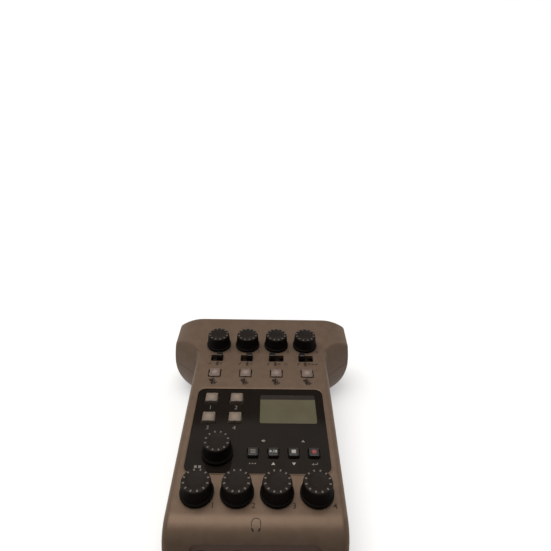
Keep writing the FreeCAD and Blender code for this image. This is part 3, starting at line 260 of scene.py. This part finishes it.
# The pads and mute buttons carry a painted glow: their colour pales towards each button's middle.
FROST_PAD_GLOW = frosted("frosted_pad_painted_glow", "#685a4e", "#96846f", 3.3)
FROST_MUTE_GLOW = frosted("frosted_mute_painted_glow", "#68584e", "#938077", 2.9, 0.8)
KEY = finish("key_plastic", "#1f1a17", "#26211d", 900.0, (0.4, 0.5), 0.3, 5000.0)
LEVER = finish("lever_plastic", "#0f0c0a", "#14100d", 1100.0, (0.45, 0.55), 0.3, 5000.0, Specular_IOR_Level=0.3)
SLOT_BLACK = finish("slot_black", "#1a130e", "#1f1711", 1100.0, (0.7, 0.8), 0.3, 5000.0, Specular_IOR_Level=0.05)
WHITE_PRINT = finish("white_print", "#8f8982", "#9c968e", 2500.0, (0.45, 0.55), Specular_IOR_Level=0.15)
# Grey print on the panel and keys, also used for the painted highlight on the levers.
GREY_PRINT_AND_HIGHLIGHT = finish("grey_print_and_highlight", "#6f6760", "#7a726a", 2500.0, (0.45, 0.55), Specular_IOR_Level=0.15)
DARK_PRINT = finish("dark_print", "#281d17", "#30241b", 2500.0, (0.5, 0.6), Specular_IOR_Level=0.2)
RECORD_RED = finish("record_red", "#7c2f2c", "#8a3835", 2500.0, (0.35, 0.45))
LCD_LIT = finish("lcd_lit", "#514c39", "#575240", 90.0, (0.12, 0.2))
# Painted shadow of the recess along the display's far edge.
LCD_SHADOW_STRIP = finish("lcd_painted_shadow", "#2c2623", "#302a27", 600.0, (0.12, 0.2))
LCD_FRAME = finish("lcd_frame", "#1b1614", "#201b18", 600.0, (0.35, 0.45))
# Painted shade: the dark patch at the middle of the front edge of the pads and mute buttons.
PAINTED_SHADE_PATCH = finish("front_edge_painted_shade", "#3d3029", "#463830", 2500.0, (0.5, 0.6))
BLACK = finish("socket_plastic", "#171412", "#201c1a", 800.0, (0.4, 0.55), 0.3, 3600.0)
BOARD = finish("board_mask", "#12301f", "#173b27", 700.0, (0.3, 0.42), 0.3, 2600.0)
STEEL = finish("plated_steel", "#8c8a86", "#a09e99", 900.0, (0.24, 0.4), 0.2, 4200.0, Metallic=1.0)
BLACK_STEEL = finish("blackened_steel", "#211f1e", "#2c2a29", 900.0, (0.3, 0.45), 0.2, 4200.0, Metallic=0.7)
BRASS = finish("contact_metal", "#a58a4e", "#b99c5c", 900.0, (0.22, 0.36), 0.2, 4200.0, Metallic=1.0)
CELL = finish("cell_wrap", "#3a3a3c", "#454547", 500.0, (0.3, 0.42))
RUBBER = finish("foot_rubber", "#1b1a19", "#242322", 900.0, (0.7, 0.85), 0.6, 2600.0)

NODE_FINISHES = {
    SHELL: ("top_shell", "bottom_shell", "battery_cover"),
    WINDOW: ("control_window",),
    PLATE: ("front_jack_plate",),
    BLACK: ("rear_plate", "input_socket_1", "input_socket_2", "input_socket_3", "input_socket_4",
            "headphone_jacks", "phone_jack", "battery_box", "power_switch_body", "input_switch_bodies",
            "power_switch", "latch_tab_1", "latch_tab_2", "latch_tab_3", "latch_tab_4"),
    BOARD: ("main_board", "jack_board", "input_board", "side_board"),
    STEEL: ("usb_ports", "card_socket", "potentiometers", "board_screws", "tact_switches"),
    BLACK_STEEL: ("case_screws",),
    BRASS: ("input_contacts", "battery_contacts"),
    CELL: ("battery_cells",),
    RUBBER: ("rubber_feet",),
    LCD_FRAME: ("display_module",),
}


def dress_nodes():
    for material, names in NODE_FINISHES.items():
        for name in names:
            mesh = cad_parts[name].data
            mesh.materials.clear()
            mesh.materials.append(material)


def on_panel(x, y, h=0.0):
    """Place on the panel at (x, y) in plan, h above it, with Z along its normal."""
    point = Vector((x, y - LENGTH / 2, PANEL_RISE + y * math.tan(PANEL_TILT))) * MM
    return Matrix.Translation(point) @ Matrix.Rotation(PANEL_TILT, 4, "X") @ Matrix.Translation((0, 0, h * MM))


def piece(name, bm, materials, body, place=None, sharp=32.0, own_origin=False):
    """Turn a bmesh drawn in millimetres into an object that rides on a body.

    Its place goes into the mesh, except where a material needs the piece's own origin."""
    bmesh.ops.recalc_face_normals(bm, faces=bm.faces)
    for face in bm.faces:
        face.smooth = True
    limit = math.radians(sharp)
    for edge in bm.edges:
        edge.smooth = len(edge.link_faces) == 2 and edge.calc_face_angle(0) < limit
    bmesh.ops.scale(bm, vec=(MM, MM, MM), verts=bm.verts)
    mesh = bpy.data.meshes.new(name)
    bm.to_mesh(mesh)
    bm.free()
    for material in materials:
        mesh.materials.append(material)
    made = bpy.data.objects.new(name, mesh)
    bpy.context.scene.collection.objects.link(made)
    if place is not None and own_origin:
        made.matrix_world = place
    elif place is not None:
        mesh.transform(place)
    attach(made, body)
    return made


def rounded_loop(bm, width, depth, radius, z, steps=6):
    """Vertices of a rounded rectangle at height z."""
    verts = []
    for quarter in range(4):
        sx = 1 if quarter in (0, 3) else -1
        sy = 1 if quarter < 2 else -1
        cx, cy = sx * (width / 2 - radius), sy * (depth / 2 - radius)
        for step in range(steps + 1):
            turn = math.radians(90 * (quarter + step / steps))
            verts.append(bm.verts.new((cx + radius * math.cos(turn), cy + radius * math.sin(turn), z)))
    return verts


def round_loop(bm, radius, z, count, ripple=0.0, ribs=0):
    """Vertices of a circle at height z, rippled into ribs where asked."""
    verts = []
    for i in range(count):
        turn = 2 * math.pi * i / count
        r = radius + ripple * math.cos(ribs * turn)
        verts.append(bm.verts.new((r * math.cos(turn), r * math.sin(turn), z)))
    return verts


def skin(bm, loops, close=True, indices=None):
    """Faces between successive loops, and over the first and last."""
    for k, (low, high) in enumerate(zip(loops, loops[1:])):
        for i in range(len(low)):
            j = (i + 1) % len(low)
            face = bm.faces.new((low[i], low[j], high[j], high[i]))
            face.material_index = indices[k] if indices else 0
    if close:
        bm.faces.new(list(reversed(loops[0])))
        top = bm.faces.new(loops[-1])
        top.material_index = indices[-1] if indices else 0


def prism(bm, points, z0, z1, index=0):
    """Upright prism of a plan polygon."""
    low = [bm.verts.new((x, y, z0)) for x, y in points]
    high = [bm.verts.new((x, y, z1)) for x, y in points]
    before = len(bm.faces)
    skin(bm, [low, high])
    bm.faces.ensure_lookup_table()
    for i in range(before, len(bm.faces)):
        bm.faces[i].material_index = index


def block_points(x0, y0, x1, y1):
    return [(x0, y0), (x1, y0), (x1, y1), (x0, y1)]


def disc_points(x, y, rx, ry=None, count=28):
    ry = rx if ry is None else ry
    return [(x + rx * math.cos(2 * math.pi * i / count), y + ry * math.sin(2 * math.pi * i / count))
            for i in range(count)]


def bar_points(x0, y0, x1, y1, width):
    """Corners of a straight bar from one point to another."""
    dx, dy = x1 - x0, y1 - y0
    length = math.hypot(dx, dy)
    nx, ny = -dy / length * width / 2, dx / length * width / 2
    return [(x0 + nx, y0 + ny), (x0 - nx, y0 - ny), (x1 - nx, y1 - ny), (x1 + nx, y1 + ny)]


def arc_bars(x, y, radius, width, start, end, count=16):
    """Short bars that follow an arc, angles in degrees."""
    bars = []
    for i in range(count):
        a = math.radians(start + (end - start) * i / count)
        b = math.radians(start + (end - start) * (i + 1) / count)
        points = [(x + r * math.cos(t), y + r * math.sin(t))
                  for r, t in ((radius - width / 2, a), (radius + width / 2, a),
                               (radius + width / 2, b), (radius - width / 2, b))]
        bars.append(points)
    return bars


def figure(text, size, thin=0.0):
    """Outline of a plain digit as a mesh of the program's own letter shapes, centred."""
    curve = bpy.data.curves.new("figure", "FONT")
    curve.body = text
    curve.size = size
    curve.align_x = "CENTER"
    curve.align_y = "CENTER"
    curve.extrude = (PRINT_DEPTH + PRINT_PROUD) / 2
    curve.offset = -thin
    curve.resolution_u = 4
    holder = bpy.data.objects.new("figure", curve)
    mesh = bpy.data.meshes.new_from_object(holder)
    bm = bmesh.new()
    bm.from_mesh(mesh)
    bmesh.ops.remove_doubles(bm, verts=bm.verts, dist=WELD)
    bpy.data.objects.remove(holder)
    bpy.data.curves.remove(curve)
    bpy.data.meshes.remove(mesh)
    return bm


def print_mesh(shapes):
    """Thin prisms of plan polygons."""
    bm = bmesh.new()
    for points in shapes:
        prism(bm, points, -PRINT_DEPTH, PRINT_PROUD)
    return bm


def printed(name, shapes, material, body, place):
    """Thin printed symbol made of plan polygons."""
    piece(name, print_mesh(shapes), [material], body, place)


def knob_mesh():
    """Bored foot, skirt, ribbed cap and a top with a ring of ticks."""
    bm = bmesh.new()
    loops = [round_loop(bm, r, z, RIBS * RIB_STEPS, ripple, RIBS) for r, z, ripple, index in KNOB_ROWS]
    skin(bm, loops, True, [index for r, z, ripple, index in KNOB_ROWS[1:]])
    inner, outer = TICK_RADII
    for i in range(TICKS):
        turn = 2 * math.pi * (i + 0.5) / TICKS
        c, s = math.cos(turn), math.sin(turn)
        prism(bm, bar_points(inner * c, inner * s, outer * c, outer * s, TICK_WIDTH), TICK_FOOT, TICK_TOP, 2)
    return bm


def make_knobs():
    places = {f"gain_knob_{i + 1}": (x, GAIN_ROW) for i, x in enumerate(COLUMNS)}
    places.update({f"headphone_knob_{i + 1}": (x, HEADPHONE_ROW) for i, x in enumerate(HEADPHONE_COLUMNS)})
    places["pad_level_knob"] = LEVEL_PLACE
    for node, place in places.items():
        knob = piece(node + "_ribbed", knob_mesh(), [KNOB_SIDE, KNOB_TOP, TICK], node,
                     on_panel(*place), sharp=50.0)
        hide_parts(node)


def button_mesh(width, depth, proud, taper, crown, round_off, corner=0.8, shade_patch=0.0):
    """Flanged button with slightly tapered sides and a softly crowned top, and where asked a dark patch of painted
    shade at the middle of its front edge.
    """
    bm = bmesh.new()
    rows = [(FLANGE, CONTROL_FOOT), (FLANGE, FLANGE_TOP), (0.0, FLANGE_TOP), (0.0, 0.0),
            (-taper, proud - crown - round_off)]
    for turn in (30, 60, 90):
        a = math.radians(turn)
        rows.append((-taper - round_off * (1 - math.cos(a)), proud - crown - round_off * (1 - math.sin(a))))
    loops = []
    for grow, z in rows:
        loops.append(rounded_loop(bm, width + 2 * grow, depth + 2 * grow, max(corner + min(grow, 0.2), 0.3), z))
    inner = taper + round_off
    for share in (0.75, 0.5, 0.25):
        w = (width - 2 * inner) * share
        d = (depth - 2 * inner) * share
        loops.append(rounded_loop(bm, w, d, max(corner * share, 0.15), proud - crown * share ** 2))
    skin(bm, loops)
    # Dark patch of painted shade at the middle of the front edge.
    if shade_patch:
        edge = depth / 2 - taper
        prism(bm, block_points(-shade_patch, -edge - 0.02, shade_patch, -edge + 0.5), 0.05, proud - crown - 0.12, 1)
    return bm


def make_pads():
    for i, place in enumerate(PADS):
        node = f"sound_pad_{i + 1}"
        pad = piece(node + "_frosted", button_mesh(*PAD_SIZE, 0.22, 0.22, 0.5, shade_patch=0.55), [FROST_PAD_GLOW, PAINTED_SHADE_PATCH],
                    node, on_panel(*place), own_origin=True)
        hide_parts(node)


def make_mute_buttons():
    for i, x in enumerate(COLUMNS):
        node = f"mute_button_{i + 1}"
        button = piece(node + "_frosted", button_mesh(*MUTE_SIZE, 0.06, 0.14, 0.34, shade_patch=0.5),
                       [FROST_MUTE_GLOW, PAINTED_SHADE_PATCH], node, on_panel(x, MUTE_ROW), own_origin=True)
        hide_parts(node)


def key_symbols():
    """Plain transport symbols, drawn about the middle of the key."""
    menu = [bar_points(-1.2, y, 1.2, y, 0.4) for y in (-0.8, 0.0, 0.8)]
    play = [[(-1.75, -0.75), (-0.4, 0.0), (-1.75, 0.75)], bar_points(-0.2, -0.9, 0.3, 0.9, 0.22),
            bar_points(0.85, -0.7, 0.85, 0.7, 0.44), bar_points(1.5, -0.7, 1.5, 0.7, 0.44)]
    stop = [block_points(-1.0, -0.95, 1.0, 0.95)]
    record = [disc_points(0, 0, 1.15)]
    return {"menu_key": (menu, GREY_PRINT_AND_HIGHLIGHT), "play_key": (play, WHITE_PRINT),
            "stop_key": (stop, WHITE_PRINT), "record_key": (record, RECORD_RED)}


def make_keys():
    for (node, (shapes, material)), (x, y) in zip(key_symbols().items(), KEYS):
        key = piece(node + "_cap", button_mesh(*KEY_SIZE, 0.1, 0.02, 0.4, 0.9), [KEY], node,
                    on_panel(x, y))
        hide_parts(node)
        printed(node + "_symbol", shapes, material, node, on_panel(x, y, KEY_SIZE[2]))


def lever_mesh():
    """Upright slide lever with a painted highlight, a pale strip along its front edge, on its slider."""
    bm = bmesh.new()
    skin(bm, [rounded_loop(bm, w, d, r, z, 4) for w, d, r, z in LEVER_ROWS], True, LEVER_FINISHES)
    # Painted highlight: a pale strip along the front top edge.
    prism(bm, block_points(*LEVER_HIGHLIGHT_STRIP), *LEVER_HIGHLIGHT_HEIGHTS, 1)
    return bm


def make_levers():
    for i, x in enumerate(COLUMNS):
        node = f"input_switch_{i + 1}"
        place = on_panel(x + SWITCH_SIDES[i] * SWITCH_TRAVELS[i] / 2, SWITCH_ROW)
        lever = piece(node + "_lever", lever_mesh(), [LEVER, GREY_PRINT_AND_HIGHLIGHT, SLOT_BLACK], node, place)
        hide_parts(node)


def make_display():
    """Pane in the hole, flush with the window: lit area with a strip of painted shadow, where the recess would cast
    it, at its far edge.
    """
    half_width, half_depth = SCREEN_WIDTH / 2 - PANE_GAP, SCREEN_DEPTH / 2 - PANE_GAP
    strip = half_depth - SHADOW_STRIP_DEPTH
    bm = bmesh.new()
    for index, (near, far) in enumerate(((-half_depth, strip), (strip, half_depth))):
        prism(bm, block_points(-half_width, near, half_width, far), SCREEN_GLASS + PANE_LIFT, -PANE_SINK, index)
    piece("lcd_pane", bm, [LCD_LIT, LCD_SHADOW_STRIP], "case", on_panel(*SCREEN_PLACE))


def make_window_rim():
    """Fine raised edge of the shell round the control window."""
    low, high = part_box("control_window")
    width = (high[0] - low[0]) / MM
    bm = bmesh.new()
    loops = [rounded_loop(bm, width + 2 * grow, WINDOW_DEPTH + 2 * grow, WINDOW_CORNER + grow, z)
             for grow, z in RIM_ROWS]
    skin(bm, loops + loops[:1], False)
    piece("window_rim", bm, [SHELL], "case", on_panel(0, WINDOW_MIDDLE))


def microphone(x, y, size):
    """Capsule microphone on a short stem."""
    half = size / 2
    shapes = [disc_points(x, y + half * 0.45, half * 0.48, half * 0.64, 16)]
    shapes += arc_bars(x, y + half * 0.3, half * 0.78, half * 0.3, 200, 340, 6)
    shapes.append(bar_points(x, y - half * 0.4, x, y - half, half * 0.34))
    shapes.append(bar_points(x - half * 0.55, y - half, x + half * 0.55, y - half, half * 0.34))
    return shapes


def make_switch_symbols():
    """Small symbols in front of each input switch."""
    row = SWITCH_SYMBOLS
    for i, x in enumerate(COLUMNS):
        left, middle = (-3.8, 0.6) if i < 2 else (-4.6, -0.5)
        shapes = [bar_points(left - 0.7, row - 1.0, left + 0.7, row + 1.0, 0.56)]
        shapes += microphone(middle, row, SWITCH_MICROPHONE)
        shapes += [bar_points(middle + 1.7, row + dy, middle + 3.0, row + dy, 0.5) for dy in (-0.5, 0.5)]
        if i == 2:
            shapes += [bar_points(edge, row - 0.9, edge, row + 0.9, 0.3) for edge in (5.0, 6.3)]
            shapes += [bar_points(5.0, row + dy, 6.3, row + dy, 0.3) for dy in (0.85, -0.85)]
        if i == 3:
            shapes += [bar_points(3.4, row, 6.2, row, 0.3), disc_points(3.6, row, 0.5, count=12),
                       [(6.0, row - 0.6), (7.0, row), (6.0, row + 0.6)]]
        printed(f"switch_symbols_{i + 1}", shapes, DARK_PRINT, "case", on_panel(x, SWITCH_ROW))


def make_mute_symbols():
    """Struck-out microphone below each mute button, leaning to the left."""
    c, s = math.cos(MUTE_SYMBOL_LEAN), math.sin(MUTE_SYMBOL_LEAN)
    for i, x in enumerate(COLUMNS):
        shapes = microphone(0.0, 0.0, MUTE_MICROPHONE)
        shapes.append(bar_points(*MUTE_BAR))
        turned = [[(px * c - py * s, px * s + py * c) for px, py in points] for points in shapes]
        printed(f"mute_symbol_{i + 1}", turned, DARK_PRINT, "case",
                on_panel(x + MUTE_SYMBOL_SHIFT, MUTE_SYMBOL_ROW))


def make_figures():
    """Plain numbers beside the knobs and under the pads."""
    for i in range(4):
        number = str(i + 1)
        piece(f"headphone_number_{i + 1}", figure(number, NUMBER_SIZE, BOLDER), [DARK_PRINT], "case",
              on_panel(HEADPHONE_COLUMNS[i] + HEADPHONE_NUMBER[0], HEADPHONE_ROW + HEADPHONE_NUMBER[1]))
        piece(f"gain_number_{i + 1}", figure(number, SMALL_NUMBER_SIZE, BOLDER), [DARK_PRINT], "case",
              on_panel(COLUMNS[i] + GAIN_NUMBER[0], GAIN_ROW + GAIN_NUMBER[1]))
        piece(f"pad_number_{i + 1}", figure(number, NUMBER_SIZE, THINNER), [GREY_PRINT_AND_HIGHLIGHT], "case",
              on_panel(PADS[i][0], PADS[i][1] + PAD_NUMBER))


def make_pointer_lines():
    """Short mark on the panel behind each knob."""
    for name, columns, row in (("gain", COLUMNS, GAIN_ROW), ("headphone", HEADPHONE_COLUMNS, HEADPHONE_ROW)):
        marks = [bar_points(x, POINTER_NEAR, x, POINTER_FAR, POINTER_WIDTH) for x in columns]
        printed(f"{name}_pointers", marks, DARK_PRINT, "case", on_panel(0, row))


def make_window_symbols():
    """Arrows and small marks round the keys."""
    below = KEYS[0][1] + KEY_SYMBOLS
    up = [[(-0.95, -0.65), (0.95, -0.65), (0.0, 0.8)]]
    down = [[(-0.95, 0.65), (0.0, -0.8), (0.95, 0.65)]]
    dots = [disc_points(dx, 0, 0.34, count=14) for dx in (-1.3, 0.0, 1.3)]
    back = [bar_points(-1.1, -0.2, 1.3, -0.2, 0.3), bar_points(1.2, -0.3, 1.2, 0.75, 0.3),
            [(-1.5, -0.2), (-0.6, 0.4), (-0.6, -0.8)]]
    for name, shapes, x, material in (("menu_dots", dots, KEYS[0][0], GREY_PRINT_AND_HIGHLIGHT),
                                      ("up_arrow", up, KEYS[1][0], WHITE_PRINT),
                                      ("down_arrow", down, KEYS[2][0] - 0.1, WHITE_PRINT),
                                      ("return_arrow", back, KEYS[3][0], GREY_PRINT_AND_HIGHLIGHT)):
        printed(name, shapes, material, "case", on_panel(x, below))
    printed("speaker_mark", [disc_points(0, 0, 0.95, 0.62, 20)], GREY_PRINT_AND_HIGHLIGHT, "case",
            on_panel(*SPEAKER_PLACE))
    printed("key_mark", [[(-0.9, -0.45), (0.9, -0.45), (0.0, 0.85)]], GREY_PRINT_AND_HIGHLIGHT, "case",
            on_panel(*KEY_MARK_PLACE))
    bars = [block_points(dx - 0.62, -0.7, dx + 0.62, 0.7) for dx in (-0.95, 0.95)]
    printed("level_mark", bars, GREY_PRINT_AND_HIGHLIGHT, "case", on_panel(*LEVEL_MARK_PLACE))


def on_nose(x, s, h=0.0):
    """Point on the rounded nose: s runs along the arc from the end of the panel, h outward."""
    angle = PANEL_TILT + s / NOSE_RADIUS
    r = NOSE_RADIUS + h
    return Vector((x, NOSE_RADIUS - r * math.sin(angle) - LENGTH / 2, NOSE_Z + r * math.cos(angle))) * MM


def make_headphone_symbol():
    """Headband and two ear cups, wrapped over the nose."""
    shapes = arc_bars(0, 0.9, 1.9, 0.32, 0, 180, 20)
    for side in (1, -1):
        shapes += [bar_points(side * 1.9, 0.9, side * 1.9, -1.1, 0.32),
                   bar_points(side * 1.85, -1.0, side * 1.25, -2.2, 0.46),
                   bar_points(side * 1.3, -1.0, side * 1.0, -2.2, 0.4)]
    made = piece("headphone_symbol", print_mesh(shapes), [DARK_PRINT], "case")
    for vert in made.data.vertices:
        x, y, z = (c / MM for c in vert.co)
        vert.co = on_nose(x, NOSE_SYMBOL - y, z)


CAMERA_PLACE = (0.00385, -0.206026, 0.191070)
CAMERA_RIGHT = (0.9998032, -0.00710148, 0.01852392)
CAMERA_DOWN = (0.01431556, -0.38817211, -0.92147571)
CAMERA_FORWARD = (0.01373431, 0.92155954, -0.38799406)
CAMERA_LENS = 30.484
SENSOR = 36.0
CLIP_START = 0.01

LAMP_PLACE = (-0.22, -0.04, 1.0)
LAMP_TARGET = (-0.22, -0.04, 0.0)
LAMP_SIZE = (0.9, 0.74)
LAMP_POWER = 8.0
LAMP_COLOUR = (1.0, 0.985, 0.96)

# Floor: how far it reaches, and the ranges of its fade to white and of the gloss that sees it white
FLOOR_REACH = 3.0
PAPER_FADE = (0.1, 0.34, 0.4)
PAPER_GLOSS_SIDE = (-0.2, 0.0)
PAPER_UNSEEN = (0.15, 0.15, 0.15, 1.0)

# World: brightness that gloss sees at each height, its fall towards the front, and the soft light from above
ROOM_STOPS = ((0.0, 1.0), (0.25, 1.0), (0.42, 0.03), (0.792, 0.03), (0.798, 0.25), (1.0, 0.24))
ROOM_SIDE = (-0.4, 0.1, 0.05)
FILL_FROM = (0.0, 0.5, 0.866)
FILL_RANGE = (0.3, 0.8, 0.03, 1.1)


def make_camera():
    camera = bpy.data.objects.new("camera", bpy.data.cameras.new("camera"))
    bpy.context.scene.collection.objects.link(camera)
    columns = [Vector(CAMERA_RIGHT), -Vector(CAMERA_DOWN), -Vector(CAMERA_FORWARD)]
    turn = Matrix(columns).transposed().to_4x4()
    camera.matrix_world = Matrix.Translation(CAMERA_PLACE) @ turn
    camera.data.lens = CAMERA_LENS
    camera.data.sensor_width = SENSOR
    camera.data.clip_start = CLIP_START
    bpy.context.scene.camera = camera


def lamp(name, place, target, size, power, colour):
    data = bpy.data.lights.new(name, "AREA")
    data.shape = "RECTANGLE"
    data.size, data.size_y = size
    data.energy = power
    data.color = colour
    made = bpy.data.objects.new(name, data)
    bpy.context.scene.collection.objects.link(made)
    made.location = place
    made.rotation_euler = (Vector(target) - Vector(place)).to_track_quat("-Z", "Y").to_euler()


def floor_paper():
    """Pale paper under the object that turns into the white of the backdrop further out.

    The camera and rays through glass see it pale. Gloss does too, except well in front of the object. Other light
    finds it dull."""
    material = finish("floor_paper", "#f2f1ef", "#f6f5f3", 3.0, (0.85, 0.95))
    nodes, links = material.node_tree.nodes, material.node_tree.links
    shader = nodes["Principled BSDF"]
    tone = shader.inputs["Base Color"].links[0].from_socket
    place = next(n for n in nodes if n.type == "TEX_COORD").outputs["Object"]
    parts = nodes.new("ShaderNodeSeparateXYZ")
    links.new(place, parts.inputs["Vector"])
    path = nodes.new("ShaderNodeLightPath").outputs
    gloss = combined("MULTIPLY", path["Is Glossy Ray"], ranged(parts.outputs["Y"], *PAPER_GLOSS_SIDE))
    seen = combined("MAXIMUM", path["Is Camera Ray"], path["Is Transmission Ray"])
    seen = combined("MAXIMUM", seen, gloss)
    share = combined("MULTIPLY", ranged(from_origin(place), *PAPER_FADE), seen)
    links.new(blended(seen, PAPER_UNSEEN, tone), shader.inputs["Base Color"])
    glow = nodes.new("ShaderNodeEmission")
    mix = nodes.new("ShaderNodeMixShader")
    links.new(share, mix.inputs["Fac"])
    links.new(shader.outputs["BSDF"], mix.inputs[1])
    links.new(glow.outputs["Emission"], mix.inputs[2])
    links.new(mix.outputs["Shader"], nodes["Material Output"].inputs["Surface"])
    return material


def make_stage():
    bm = bmesh.new()
    bmesh.ops.create_grid(bm, x_segments=8, y_segments=8, size=FLOOR_REACH)
    mesh = bpy.data.meshes.new("floor")
    bm.to_mesh(mesh)
    bm.free()
    floor = bpy.data.objects.new("floor", mesh)
    mesh.materials.append(floor_paper())
    bpy.context.scene.collection.objects.link(floor)


def make_world():
    """White for the camera and glass, a white horizon under a dim room for gloss, and soft light for the rest."""
    world = bpy.data.worlds.new("studio")
    bpy.context.scene.world = world
    world.use_nodes = True
    nodes, links = world.node_tree.nodes, world.node_tree.links
    background = nodes["Background"]
    background.inputs["Color"].default_value = (1.0, 1.0, 1.0, 1.0)
    place = nodes.new("ShaderNodeTexCoord").outputs["Generated"]
    parts = nodes.new("ShaderNodeSeparateXYZ")
    links.new(place, parts.inputs["Vector"])
    room = nodes.new("ShaderNodeValToRGB")
    ramp = room.color_ramp.elements
    while len(ramp) < len(ROOM_STOPS):
        ramp.new(0.5)
    for element, (position, level) in zip(ramp, ROOM_STOPS):
        element.position = position
        element.color = (level, level, level, 1.0)
    links.new(parts.outputs["Z"], room.inputs["Fac"])
    path = nodes.new("ShaderNodeLightPath").outputs
    seen = combined("MAXIMUM", path["Is Camera Ray"], path["Is Transmission Ray"])
    sweep = combined("MULTIPLY", ranged(parts.outputs["Y"], *ROOM_SIDE), room.outputs["Color"])
    gloss = combined("MULTIPLY", path["Is Glossy Ray"], sweep)
    facing = nodes.new("ShaderNodeVectorMath")
    facing.operation = "DOT_PRODUCT"
    facing.inputs[1].default_value = FILL_FROM
    links.new(place, facing.inputs[0])
    fill = combined("MULTIPLY", path["Is Diffuse Ray"], ranged(facing.outputs["Value"], *FILL_RANGE))
    strength = combined("MAXIMUM", combined("MAXIMUM", seen, gloss), fill)
    links.new(strength, background.inputs["Strength"])


dress_nodes()
make_knobs()
make_pads()
make_mute_buttons()
make_keys()
make_levers()
make_display()
make_window_rim()
make_switch_symbols()
make_mute_symbols()
make_figures()
make_pointer_lines()
make_window_symbols()
make_headphone_symbol()
make_camera()
make_stage()
make_world()
lamp("overhead_light", LAMP_PLACE, LAMP_TARGET, LAMP_SIZE, LAMP_POWER, LAMP_COLOUR)
bpy.context.scene.view_settings.view_transform = "Standard"
